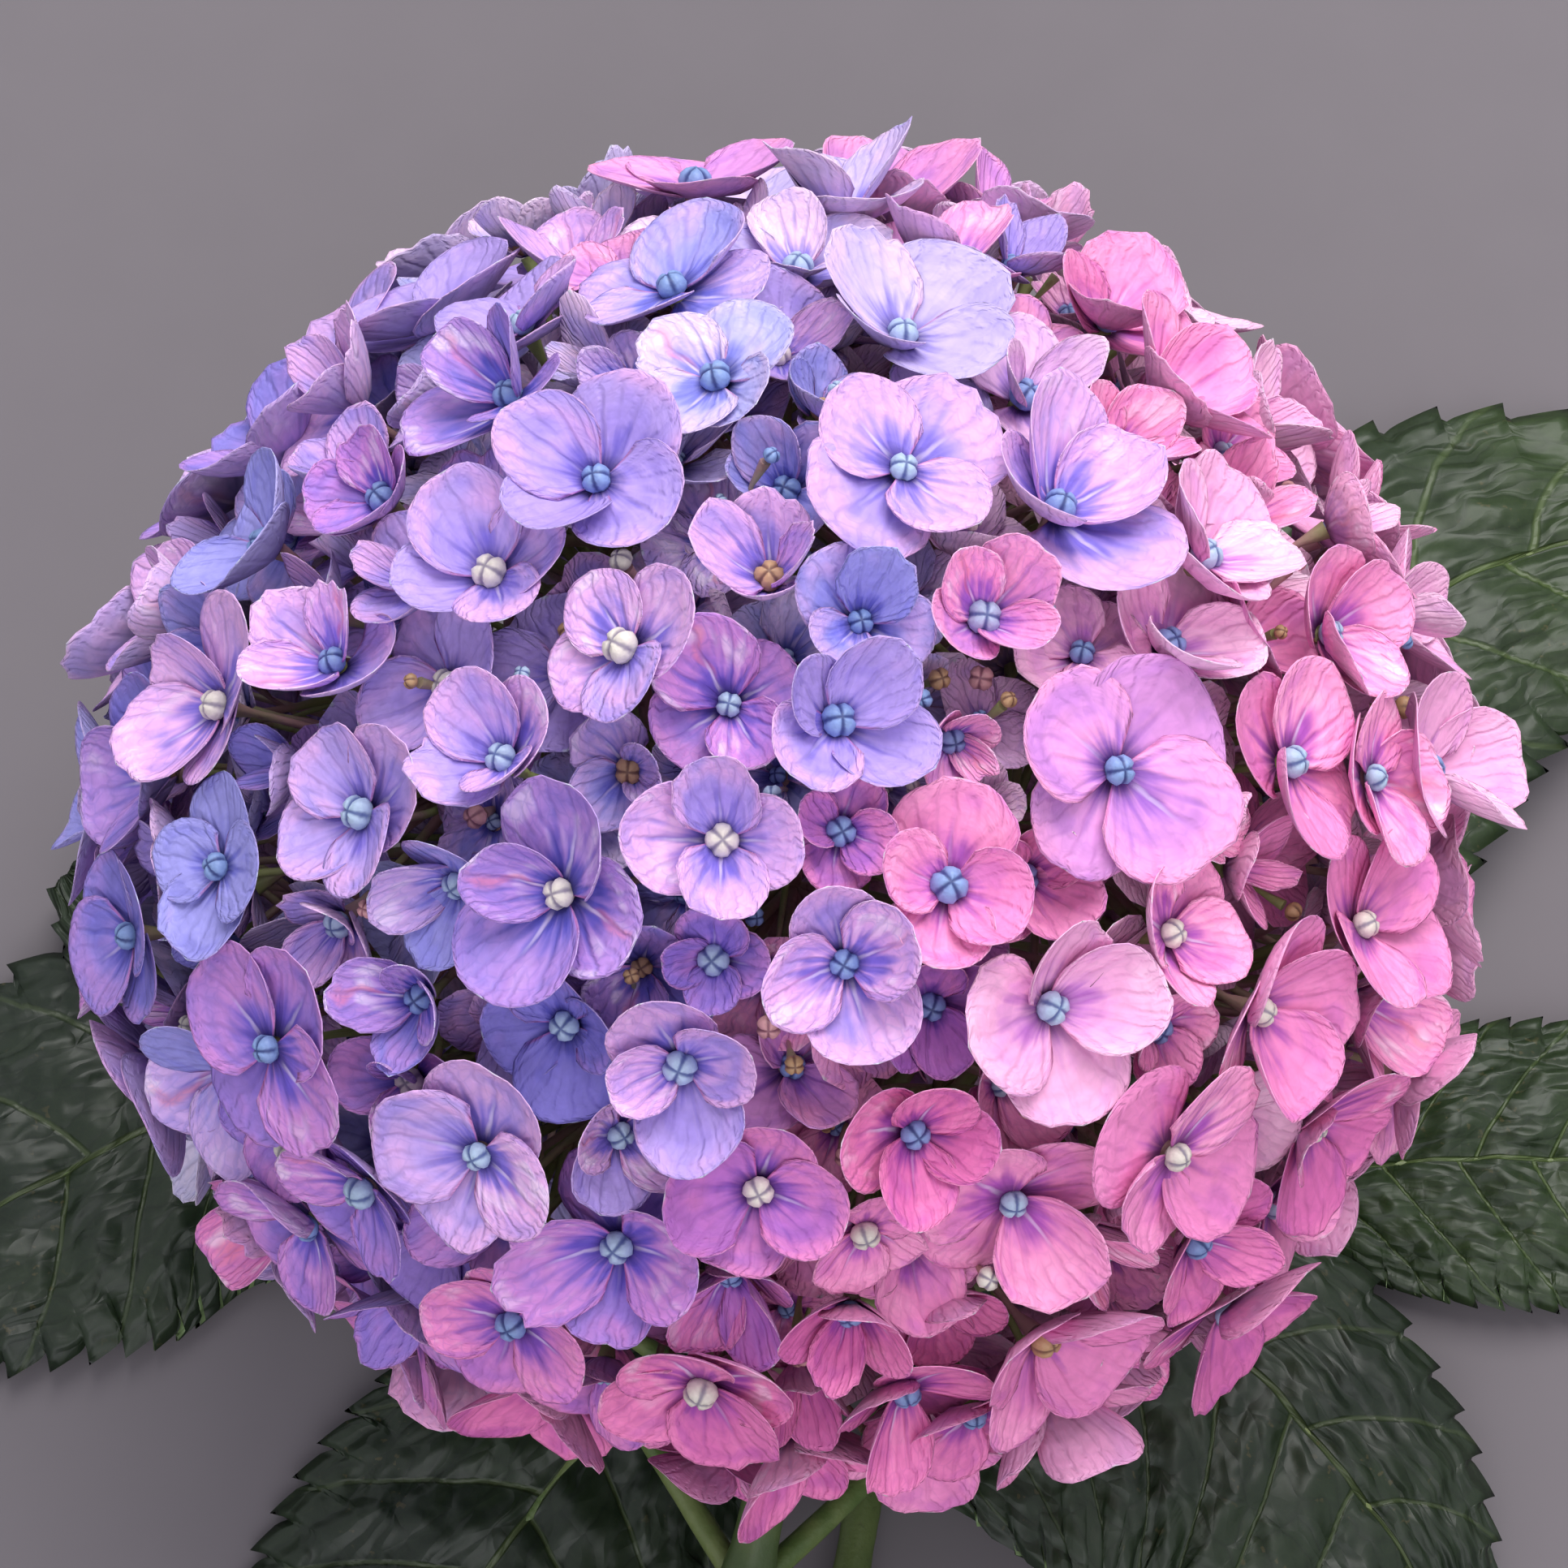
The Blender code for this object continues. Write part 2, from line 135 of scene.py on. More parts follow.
# %% A finish: a material whose Principled shader is fed by sums
def screen(red, green, blue):
    """A colour as a screen gives it, 0 to 255, in the linear values that a shader uses."""
    values = [c / 255 for c in (red, green, blue)]
    return (*[v / 12.92 if v <= 0.04045 else ((v + 0.055) / 1.055) ** 2.4 for v in values], 1.0)


def darker(colour, share):
    return (*[share * c for c in colour[:3]], 1.0)


class Finish(Net):
    """A material with a Principled shader and the few patterns that this plant needs."""

    def __init__(self, name, roughness=0.5, specular=0.5):
        self.material = bpy.data.materials.new(name)
        self.material.use_nodes = True
        super().__init__(self.material.node_tree)
        self.shader = self.tree.nodes["Principled BSDF"]
        self.shader.inputs["Roughness"].default_value = roughness
        self.shader.inputs["Specular IOR Level"].default_value = specular
        self.spot = self.node("ShaderNodeTexCoord").outputs["Object"]

    def attribute(self, name):
        return Signal(self, self.node("ShaderNodeAttribute", {"attribute_name": name}).outputs["Fac"])

    def across_and_along(self, uv_map):
        flat = self.node("ShaderNodeUVMap", {"uv_map": uv_map}).outputs[0]
        parts = self.node("ShaderNodeSeparateXYZ", sockets={0: flat}).outputs
        return Signal(self, parts[0]), Signal(self, parts[1])

    def cloud(self, scale, detail=2.0, flat=None):
        """Soft noise, 0 to 1, in space or on a flat layout."""
        settings = {"noise_dimensions": "2D" if flat else "3D"}
        sockets = {"Vector": flat or self.spot, "Scale": scale, "Detail": detail}
        return Signal(self, self.node("ShaderNodeTexNoise", settings, sockets).outputs[0])

    def cells(self, scale, flat=None):
        """How far a spot is from the edge of its cell, where cells are packed at random."""
        settings = {"feature": "DISTANCE_TO_EDGE", "voronoi_dimensions": "2D" if flat else "3D"}
        sockets = {"Vector": flat or self.spot, "Scale": scale}
        return Signal(self, self.node("ShaderNodeTexVoronoi", settings, sockets).outputs["Distance"])

    def vector(self, x, y):
        return self.node("ShaderNodeCombineXYZ", sockets={0: x, 1: y}).outputs[0]

    def mix(self, share, first, second):
        settings = {"data_type": "RGBA"}
        return self.node("ShaderNodeMix", settings, {0: share, 6: first, 7: second}).outputs[2]

    def shade(self, colour, amount):
        """The colour times an amount."""
        sockets = {0: colour, 1: amount}
        return self.node("ShaderNodeVectorMath", {"operation": "MULTIPLY"}, sockets).outputs[0]

    def relief(self, height, distance):
        node = self.node("ShaderNodeBump", sockets={"Height": height, "Distance": distance, "Strength": 1.0})
        self.join(node.outputs[0], self.shader.inputs["Normal"])

    def feed(self, socket, value):
        self.join(value, self.shader.inputs[socket])


# %% [markdown]
# ## Where the florets sit
#
# A mophead is a ball of some two hundred florets, each with four broad sepals round a small bud. An even
# spiral, in which each floret turns by the golden angle, covers a ball without rows or clumps. Seeded
# jitter then makes it look grown. The frame's solid follows the same rule, so the same numbers are used
# here and the fine florets land on the plain ones.

# %% Sizes of the head
BLOOM_CENTRE = Vector((-5.5, 50.0, 96.0)) * MM
BLOOM_TILT = math.radians(40)
BLOOM_AXIS = Vector((0, math.cos(BLOOM_TILT), math.sin(BLOOM_TILT)))
BLOOM_ACROSS = Vector((1, 0, 0))
BLOOM_BACK = BLOOM_AXIS.cross(BLOOM_ACROSS)
EYE_RADIUS, EYE_HEIGHT = 92.5 * MM, 88.0 * MM
OPENING = math.radians(147.5)
COVERED = 1 - math.cos(OPENING)  # the part of the ball's height that florets cover, in radii
STALK_REACH = 84.0 * MM
REST_HEIGHT = 0.02 * MM
GOLDEN_ANGLE = math.pi * (3 - math.sqrt(5))

FLORET_COUNT = 194
FLORET_RADIUS = 14.4 * MM
FLORET_JITTER = 0.035
FLORET_LIFTS = (-4.5 * MM, 2.0 * MM)
FLORET_LEAN = 0.17
FLORET_SIZE_SPREAD, FLORET_SIZE_LIMITS = 0.11, (-0.24, 0.16)
SEPAL_PAIR_SPREAD, SEPAL_SIZE_SPREAD = 0.09, 0.06
CUP_MEAN, CUP_SPREAD, CUP_LIMITS = 20, 9, (6, 44)
FLORET_TOP, FLORET_UNDER = 0.8 * MM, 1.1 * MM
FLORET_STALK, STALK_FLARE = 1.0 * MM, 1.5
NOTCH_REACH, EDGE_REACH = 0.76, 0.98  # shares of a sepal's length, between two sepals and at its edge
CLEARANCE = 1.2 * MM


# %% The surface of the ball
def turned(side, other, turn):
    """The direction that is turned from one side towards the other."""
    return side * math.cos(turn) + other * math.sin(turn)


def ball_direction(polar, turn):
    """The direction from the ball's centre at an angle from its top and a turn about its axis."""
    return BLOOM_AXIS * math.cos(polar) + turned(BLOOM_ACROSS, BLOOM_BACK, turn) * math.sin(polar)


def ball_radius(polar, turn):
    """From the ball's centre to the layer of florets, which bulges and dips a little."""
    swell = 1 + 0.018 * math.sin(3 * turn + 2.2 * polar) + 0.014 * math.sin(5 * polar - 2 * turn + 1)
    return swell / math.hypot(math.sin(polar) / EYE_RADIUS, math.cos(polar) / EYE_HEIGHT)


def polar_at(part, whole=1):
    """The angle from the ball's top that has this part of the covered surface inside it."""
    return math.acos(1 - COVERED * part / whole)


def limited(value, limits):
    return min(max(value, limits[0]), limits[1])


# %% The spiral of florets
LEAST_SINE = 0.3  # keeps the jitter small near the ball's top
RISE_TO_TOP = 0.1  # how much florets at the sides look towards the ball's top


def random_lean(rng, amount):
    return Vector((rng.gauss(0, 1), rng.gauss(0, 1), rng.gauss(0, 1))) * amount


def floret_places(seed=29):
    """Each floret is its eye, the way it faces, its spin, its four sepal lengths and how far they cup."""
    rng = random.Random(seed)
    places = []
    for i in range(FLORET_COUNT):
        polar = polar_at(i + 0.5, FLORET_COUNT) + rng.uniform(-FLORET_JITTER, FLORET_JITTER)
        jitter = rng.uniform(-FLORET_JITTER, FLORET_JITTER) / max(math.sin(polar), LEAST_SINE)
        turn = i * GOLDEN_ANGLE + jitter
        out = ball_direction(polar, turn)
        eye = BLOOM_CENTRE + out * (ball_radius(polar, turn) + rng.uniform(*FLORET_LIFTS))
        lean = random_lean(rng, FLORET_LEAN)
        face = (out + lean - out * lean.dot(out) + BLOOM_AXIS * RISE_TO_TOP * math.sin(polar)).normalized()
        spin = rng.uniform(0, math.tau)
        size = FLORET_RADIUS * (1 + limited(rng.gauss(0, FLORET_SIZE_SPREAD), FLORET_SIZE_LIMITS))
        pair = rng.uniform(-SEPAL_PAIR_SPREAD, SEPAL_PAIR_SPREAD)
        spreads = [rng.uniform(-SEPAL_SIZE_SPREAD, SEPAL_SIZE_SPREAD) for _ in range(4)]
        sepals = [size * (1 + pair * (-1) ** k + spread) for k, spread in enumerate(spreads)]
        cup = math.radians(limited(rng.gauss(CUP_MEAN, CUP_SPREAD), CUP_LIMITS))
        places.append((eye, face, spin, sepals, cup))
    return places


def floret_side(face, spin):
    """The direction of a floret's first sepal."""
    return Matrix.Rotation(spin, 3, face) @ face.orthogonal().normalized()


def plain_floret(eye, face, spin, sepals, cup):
    """The rim, the top and the stalk's ring of the plain floret that the frame's solid has there."""
    side = floret_side(face, spin)
    other = face.cross(side)
    rim = []
    for k, length in enumerate(sepals):
        beside = min(length, sepals[k - 1])
        edge = length * EDGE_REACH
        for angle, reach in ((-45, beside * NOTCH_REACH), (-24, edge), (24, edge)):
            out = turned(side, other, math.radians(90 * k) + math.radians(angle))
            rise = reach * math.sin(cup) * (reach / length) ** 0.4
            rim.append(eye + out * reach * math.cos(cup) + face * rise)
    ring = []
    for k in range(3):
        out = turned(side, other, math.radians(120 * k + 15))
        ring.append(eye + out * FLORET_STALK * STALK_FLARE - face * FLORET_UNDER)
    return rim, eye + face * FLORET_TOP, ring


# %% Florets that rest on the table, and florets that would touch a leaf
def settle(place):
    """Lifts a floret under the ball until it rests on the table."""
    rim, _, ring = plain_floret(*place)
    dip = REST_HEIGHT - min(p.z for p in (*rim, *ring))
    return (place[0] + UP * max(dip, 0), *place[1:])


def touches(place, obstacles):
    """Whether a plain floret comes too near to an obstacle or cuts into it."""
    rim, top, ring = plain_floret(*place)
    for point in (*rim, top, *ring, *[p.lerp(place[0], 0.5) for p in rim]):
        for tree in obstacles:
            found = tree.find_nearest(point)
            if found[0] is not None and (found[0] - point).length < CLEARANCE:
                return True
    count = len(rim)
    fan = [(k, (k + 1) % count, count) for k in range(count)]
    own = BVHTree.FromPolygons([*rim, top], fan)
    return any(own.overlap(tree) for tree in obstacles)


def solid_tree(name):
    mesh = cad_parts[name].data
    points = [vertex.co.copy() for vertex in mesh.vertices]
    return BVHTree.FromPolygons(points, [tuple(face.vertices) for face in mesh.polygons])


obstacles = [solid_tree(name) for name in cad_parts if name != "bloom"]
outer_places = [place for place in map(settle, floret_places()) if not touches(place, obstacles)]
print(len(outer_places), "florets of", FLORET_COUNT, "are clear of the leaves and stems")

# %% [markdown]
# ## Younger florets in the gaps
#
# Between the big florets the eye meets younger ones, a little deeper in the head. Each goes to the widest
# gap that is left, so they fill the head evenly and never crowd. A last layer, deeper still, does the same
# once more and stops the eye from looking into an empty ball.

# %% The florets that fill the gaps
YOUNG = {"count": 225, "depths": (4.5 * MM, 9.0 * MM), "radii": (9.4 * MM, 13.8 * MM), "cups": (10, 44)}
DEEP = {"count": 240, "depths": (10.0 * MM, 15.0 * MM), "radii": (10.0 * MM, 12.6 * MM), "cups": (4, 30)}
CANDIDATES = 16000
GAP_LEAN, GAP_SEPALS = 0.24, (0.88, 1.06)
REACH_SHARE = 0.6  # how much of a floret's length counts as filled


def ball_spots(places):
    """The directions of florets from the ball's centre, and how long their sepals are."""
    outs = [(place[0] - BLOOM_CENTRE).normalized() for place in places]
    return [(out, sum(place[3]) / 4) for out, place in zip(outs, places)]


def narrowed(gaps, outs, out, length):
    """The gap that is left at each direction once a floret stands at one of them."""
    return np.minimum(gaps, np.linalg.norm(outs - out, axis=1) * EYE_RADIUS - REACH_SHARE * length)


def gap_places(seed, places, layer):
    """Florets in the widest gaps between the florets given."""
    rng = random.Random(seed)
    angles = [(polar_at(rng.random()), rng.uniform(0, math.tau)) for _ in range(CANDIDATES)]
    outs = np.array([ball_direction(polar, turn) for polar, turn in angles])
    gaps = np.full(CANDIDATES, np.inf)
    for out, length in ball_spots(places):
        gaps = narrowed(gaps, outs, np.array(out), length)
    found = []
    for _ in range(layer["count"]):
        widest = int(np.argmax(gaps))
        out = Vector(outs[widest])
        lean = random_lean(rng, GAP_LEAN)
        size = rng.uniform(*layer["radii"])
        sepals = [size * rng.uniform(*GAP_SEPALS) for _ in range(4)]
        cup = math.radians(rng.uniform(*layer["cups"]))
        eye = BLOOM_CENTRE + out * (ball_radius(*angles[widest]) - rng.uniform(*layer["depths"]))
        found.append((eye, (out + lean).normalized(), rng.uniform(0, math.tau), sepals, cup))
        gaps = narrowed(gaps, outs, outs[widest], size)
    return [place for place in map(settle, found) if not touches(place, obstacles)]


young_places = gap_places(seed=7, places=outer_places, layer=YOUNG)
deep_places = gap_places(seed=8, places=outer_places + young_places, layer=DEEP)
print(len(young_places), "young florets fill the gaps and", len(deep_places), "lie deeper")

# %% [markdown]
# ## One sepal
#
# A sepal is a thin, nearly round blade with a narrow foot. Its veins fan out from that foot. So it is made
# as a fan: rows go from the foot to the rim and columns are rays. Veins can later follow the columns, and
# the pale rim is the last row. It is first a bare surface, and later gets a thickness, because a real sepal
# has two sides and an edge.

# %% The shape of a sepal
SEPAL_SPREAD = math.radians(72)  # each way from its middle ray
SEPAL_FOOT, MIDLINE_GROOVE = 1.3 * MM, 0.3 * MM
FINE_GRID = (np.array([0, 0.26, 0.5, 0.7, 0.86, 0.97, 1.0]), 19)  # rows from foot to rim, and columns
YOUNG_GRID = (np.array([0, 0.35, 0.68, 0.95, 1.0]), 15)
DEEP_GRID = (np.array([0, 0.5, 1.0]), 9)


def sepal_traits(rng):
    """What makes one sepal differ from the next."""
    return {
        "width": rng.uniform(0.92, 1.12),
        "spoon": rng.uniform(0.08, 0.26),
        "curl": rng.uniform(-0.1, 0.07),
        "ruffle": rng.uniform(0.15, 0.9) * MM,
        "phase": rng.uniform(0, math.tau),
        "point": rng.gauss(0.0, 0.018),
        "jag": max(0.005, rng.gauss(0.013, 0.016)),
        "teeth": rng.randrange(1000),
    }


def sepal_surface(length, cup, traits, rows, columns):
    """Points of a sepal that lies along +X and looks to +Z."""
    turn = np.linspace(-1, 1, columns) * SEPAL_SPREAD
    phase = traits["phase"]
    edge = length * np.cos(turn) ** 0.62
    teeth = np.random.default_rng(traits["teeth"]).uniform(-1, 1, columns) * traits["jag"]
    edge = edge * (1 + 0.012 * np.sin(turn * 7 + phase) + teeth)
    edge = edge * (1 + traits["point"] * np.exp(-((turn / 0.12) ** 2)))
    along = rows[:, None]
    reach = SEPAL_FOOT + (edge[None, :] - SEPAL_FOOT) * along
    share = reach / length
    x = reach * np.cos(turn) * math.cos(cup)
    y = reach * np.sin(turn) * math.cos(cup) * traits["width"]
    z = reach * math.sin(cup) * share**0.5
    z = z + traits["spoon"] * y**2 / length
    z = z - traits["curl"] * length * along**5
    z = z - MIDLINE_GROOVE * np.exp(-((turn / 0.11) ** 2)) * 4 * along * (1 - along)
    z = z + traits["ruffle"] * along**2 * np.sin(turn * 3.3 + phase)
    return np.stack([x, y, z], axis=-1)


def place_surface(surface, origin, along, left, up):
    return surface @ np.array([along, left, up]) + np.array(origin)


# %% [markdown]
# ## Laying the sepals
#
# Florets crowd each other. Where two overlap, the upper one rests on the lower one and is pushed up by it.
# The deepest florets are laid first, and each is tried a little inside its place. Each new sepal tries its
# own cup first, then steeper and flatter ones, and keeps the first that cuts into no sepal laid before it
# and stays inside the head's outline. Where none does, the whole floret is moved in or out a little, and
# the least trouble wins.

# %% Sepals laid so far
CUP_TRIES = [math.radians(a) for a in (0, 6, -6, 12, -11, 18, 25, 33)]
CUP_RANGE = (math.radians(-10), math.radians(68))
UPRIGHT_CHANCE, UPRIGHT_ANGLE = 0.07, 28
LOWER_FIRST = (0, 2, 1, 3)  # the sepals of a floret in the order in which they are laid
TURN_SPREAD, CUP_CHANGE, TWIST_SPREAD = 4, 5, 5  # degrees
LENGTH_SHARES = (0.9, 1.03)
UPPER_CUP, LOWER_CUP = 5, -2  # degrees that the upper and the lower pair rise more than their floret
UPPER_OFFSET, LOWER_OFFSET = 0.6 * MM, -0.4 * MM
FEET = 6  # faces of two sepals that may cross under the eye, where they can't be seen
LIFTS = [lift * MM for lift in (-2.8, -1.8, -4.0, -0.8, 0.4, -5.2, 1.6)]
FINE_SCALE = 0.96
FLOOR_GAP = 0.35 * MM
OUTLINE_MARGIN, OUTLINE_WEIGHT = 5.1, 2.0  # millimetres past the layer of eyes, and faces to a millimetre


def grid_quads(rows, columns):
    """The faces of a grid of points, row after row."""
    grid = np.arange(rows * columns).reshape(rows, columns)
    corners = [grid[:-1, :-1], grid[1:, :-1], grid[1:, 1:], grid[:-1, 1:]]
    return np.stack(corners, axis=-1).reshape(-1, 4)


class Laid:
    """The sepals laid so far. A ball round each one tells quickly which of them are near."""

    def __init__(self):
        self.centres = []
        self.radii = []
        self.trees = []
        self.crossings = 0

    def test(self, surface, own):
        """How many faces cross earlier sepals and the floret's own ones, and the surface's ball and tree."""
        coarse = surface[:: 2 if len(surface) > 3 else 1, ::2]
        points = coarse.reshape(-1, 3)
        tree = BVHTree.FromPolygons(points.tolist(), grid_quads(*coarse.shape[:2]).tolist())
        centre = points.mean(axis=0)
        radius = np.linalg.norm(points - centre, axis=1).max()
        hits = sum(max(0, len(tree.overlap(other)) - FEET) for other in own)
        if self.centres:
            gaps = np.linalg.norm(np.array(self.centres) - centre, axis=1)
            for k in np.nonzero(gaps < np.array(self.radii) + radius)[0]:
                hits += len(tree.overlap(self.trees[k]))
        return hits, centre, radius, tree

    def add(self, centre, radius, tree):
        self.centres.append(centre)
        self.radii.append(radius)
        self.trees.append(tree)


# %% Lay every floret
def above_floor(surface):
    """Presses a surface flat where it would go into the table."""
    surface[..., 2] = np.maximum(surface[..., 2], FLOOR_GAP)
    return surface


def sepal_plans(place, seed):
    """What each of a floret's sepals wants to be. The two lower ones, opposite each other, come first."""
    _, face, spin, sepals, cup = place
    rng = random.Random(seed)
    side = floret_side(face, spin)
    plans = []
    for k in LOWER_FIRST:
        length, upper = sepals[k], k % 2
        along = Matrix.Rotation(math.radians(90 * k + rng.gauss(0, TURN_SPREAD)), 3, face) @ side
        own_cup = cup + math.radians(rng.gauss(0, CUP_CHANGE) + (UPPER_CUP if upper else LOWER_CUP))
        own_cup += math.radians(UPRIGHT_ANGLE) * (rng.random() < UPRIGHT_CHANCE)
        twist = Matrix.Rotation(math.radians(rng.gauss(0, TWIST_SPREAD)), 3, along)
        plans.append({
            "axes": (along, twist @ face.cross(along), twist @ face),
            "offset": face * (UPPER_OFFSET if upper else LOWER_OFFSET),
            "length": length * FINE_SCALE * rng.uniform(*LENGTH_SHARES),
            "cup": own_cup,
            "traits": sepal_traits(rng),
        })
    return plans


def stands_out(surface):
    """How many millimetres a surface stands out of the head's even outline."""
    offset = surface - np.array(BLOOM_CENTRE)
    up = offset @ np.array(BLOOM_AXIS)
    across = np.sqrt(np.maximum((offset**2).sum(axis=-1) - up**2, 0))
    furthest = np.hypot(up / EYE_HEIGHT, across / EYE_RADIUS).max()
    return max(0.0, (furthest - 1) * EYE_RADIUS / MM - OUTLINE_MARGIN)


def lay_sepal(plan, eye, laid, own, rows, columns):
    """The least trouble with earlier sepals and the outline, its ball and tree, its surface and its hits."""
    best = None
    for change in CUP_TRIES:
        cup = limited(plan["cup"] + change, CUP_RANGE)
        flat = sepal_surface(plan["length"], cup, plan["traits"], rows, columns)
        surface = above_floor(place_surface(flat, eye + plan["offset"], *plan["axes"]))
        hits, *ball = laid.test(surface, own)
        trouble = hits + OUTLINE_WEIGHT * stands_out(surface)
        if best is None or trouble < best[0]:
            best = (trouble, ball, surface, hits)
        if trouble == 0:
            break
    return best


def lay_floret(place, laid, seed, rows, columns):
    """The floret's place after its lift, and its four sepal surfaces."""
    plans = sepal_plans(place, seed)
    best = None
    for lift in LIFTS:
        eye = place[0] + place[1] * lift
        tried, own = [], []
        for plan in plans:
            tried.append(lay_sepal(plan, eye, laid, own, rows, columns))
            own.append(tried[-1][1][-1])
        trouble = sum(found[0] for found in tried)
        if best is None or trouble < best[0]:
            best = (trouble, eye, tried)
        if trouble == 0:
            break
    _, eye, tried = best
    for _, ball, _, hits in tried:
        laid.add(*ball)
        laid.crossings += hits
    return (eye, *place[1:]), [surface for _, _, surface, _ in tried]


def depth_order(place):
    return (place[0] - BLOOM_CENTRE).length


laid = Laid()
florets = []
LAYERS = (("deep", deep_places, DEEP_GRID, 9000), ("young", young_places, YOUNG_GRID, 5000),
          ("full", outer_places, FINE_GRID, 1000))
for layer, places, grid, first_seed in LAYERS:
    for index, place in enumerate(sorted(places, key=depth_order)):
        seed = first_seed + index
        settled, surfaces = lay_floret(place, laid, seed, *grid)
        florets.append((settled, layer, seed, surfaces))
print(len(laid.trees), "sepals laid,", laid.crossings, "faces still cross")

# %% [markdown]
# ## Thin closed shells
#
# A bare surface has no thickness and looks wrong from behind. So each surface gets a top and an underside a
# quarter of a millimetre apart, less at the rim, and a narrow face all round. Hundreds of them are joined
# into one mesh from arrays, which is far quicker than adding objects. Each shell has its own patch in a
# flat layout, so that a pattern can be saved to an image, and a second layout that runs from foot to rim,
# so that a pattern can follow the sepal.


# %% One mesh of many thin shells
def shell_faces(rows, columns):
    """The faces of one closed shell: its top, its underside and the strip round them."""
    below = rows * columns
    grid = np.arange(below).reshape(rows, columns)
    top = grid_quads(rows, columns)
    bottom = top[:, ::-1] + below
    loop = np.concatenate([grid[:, 0], grid[-1, 1:], grid[-2::-1, -1], grid[0, -2:0:-1]])
    after = np.roll(loop, -1)
    strip = np.stack([loop + below, after + below, after, loop], axis=-1)
    return top, bottom, strip


def surface_normals(surface):
    along = np.gradient(surface, axis=0)
    across = np.gradient(surface, axis=1)
    normal = np.cross(along, across)
    return normal / np.maximum(np.linalg.norm(normal, axis=-1, keepdims=True), 1e-12)


def link(name, data):
    """A new object in the scene, at the origin."""
    obj = bpy.data.objects.new(name, data)
    bpy.context.scene.collection.objects.link(obj)
    return obj


def mesh_from_arrays(name, points, quads):
    mesh = bpy.data.meshes.new(name)
    mesh.vertices.add(len(points))
    mesh.vertices.foreach_set("co", points.astype(np.float32).ravel())
    mesh.loops.add(quads.size)
    mesh.loops.foreach_set("vertex_index", quads.astype(np.int32).ravel())
    mesh.polygons.add(len(quads))
    mesh.polygons.foreach_set("loop_start", np.arange(len(quads), dtype=np.int32) * 4)
    mesh.polygons.foreach_set("use_smooth", np.ones(len(quads), dtype=bool))
    mesh.update(calc_edges=True)
    return link(name, mesh)


def patches(count):
    """The lower left corner and the size of each patch of a square layout."""
    side = math.ceil(math.sqrt(count))
    index = np.arange(count)
    return np.stack([index % side, index // side], axis=-1) / side, 1 / side


def thin_shells(name, surfaces, thickness, whims, thin_rim=0.0):
    """A mesh of closed shells that all have as many rows and columns, and may get thinner at the rim."""
    rows, columns = surfaces[0].shape[:2]
    size = rows * columns
    count = len(surfaces)
    stacked = np.stack(surfaces)
    normals = np.stack([surface_normals(surface) for surface in surfaces])
    half = normals * (thickness / 2) * (1 - thin_rim * np.linspace(0, 1, rows) ** 6)[:, None, None]
    tops = (stacked + half).reshape(count, size, 3)
    bottoms = (stacked - half).reshape(count, size, 3)
    points = np.concatenate([tops, bottoms], axis=1).reshape(-1, 3)
    top, bottom, strip = shell_faces(rows, columns)
    faces = np.concatenate([top, bottom, strip])
    quads = (faces[None] + (np.arange(count) * 2 * size)[:, None, None]).reshape(-1, 4)
    obj = mesh_from_arrays(name, points, quads)

    across, along = np.meshgrid(np.linspace(0, 1, columns), np.linspace(0, 1, rows))
    flat = np.stack([across.ravel(), along.ravel()], axis=-1)
    follow = obj.data.uv_layers.new(name="foot_to_tip")
    corners = np.broadcast_to(flat[faces % size], (count, len(faces), 4, 2))
    follow.data.foreach_set("uv", corners.astype(np.float32).ravel())

    corner, patch = patches(2 * count)
    under = np.concatenate([np.zeros(len(top)), np.ones(len(bottom)), np.zeros(len(strip))]).astype(int)
    owner = corner[2 * np.arange(count)[:, None] + under[None, :]]
    atlas = owner[:, :, None, :] + (0.04 + 0.92 * flat[faces % size])[None] * patch
    layout = obj.data.uv_layers.new(name="OFBake")
    layout.data.foreach_set("uv", atlas.astype(np.float32).ravel())

    sides = np.tile(np.repeat([0.0, 1.0], size), count)
    for label, values in (("under", sides), ("whim", np.repeat(whims, 2 * size))):
        attribute = obj.data.attributes.new(label, "FLOAT", "POINT")
        attribute.data.foreach_set("value", values.astype(np.float32))
    return obj


# %% [markdown]
# ## Colours of the florets
#
# The head runs from periwinkle on its left to pink on its right and low down. It is paler towards its top
# and its right, partly by its own tints and partly as painted light where the key light falls, and its
# deepest florets are paler as painted fill light.
# Each floret takes one of thirteen plain tints by where it sits, with some chance, as neighbours differ. A
# tint is three colours: the body of the sepal, its outer part, and its foot round the eye.

# %% The tints
# Name: how far it is towards the pink side, how pale it is, then body, outer part and foot.
TINTS = {
    "blue_violet": (0.00, 0.15, (134, 124, 208), (176, 134, 206), (76, 74, 178)),
    "periwinkle": (0.04, 0.5, (158, 154, 226), (202, 166, 222), (92, 92, 198)),
    "pale_periwinkle": (0.10, 0.95, (178, 175, 231), (212, 188, 227), (104, 108, 204)),
    "violet": (0.34, 0.12, (156, 124, 210), (200, 134, 204), (90, 74, 184)),
    "lilac": (0.34, 0.5, (178, 154, 224), (220, 168, 220), (106, 92, 198)),
    "pale_lilac": (0.38, 0.95, (197, 181, 232), (229, 193, 226), (120, 106, 204)),
    "orchid": (0.60, 0.12, (188, 116, 198), (226, 134, 190), (114, 68, 174)),
    "mauve": (0.62, 0.52, (212, 144, 210), (242, 158, 204), (136, 82, 188)),
    "blush": (0.66, 0.95, (234, 186, 232), (244, 200, 232), (154, 112, 208)),
    "rose": (0.95, 0.1, (214, 108, 172), (234, 130, 184), (140, 58, 158)),
    "pink": (0.97, 0.5, (236, 138, 194), (247, 160, 204), (158, 70, 176)),
    "pale_pink": (1.00, 0.95, (244, 176, 218), (249, 196, 226), (180, 102, 196)),
}
MILKY = ("milk", (198, 197, 236), (222, 208, 235), (106, 112, 206))
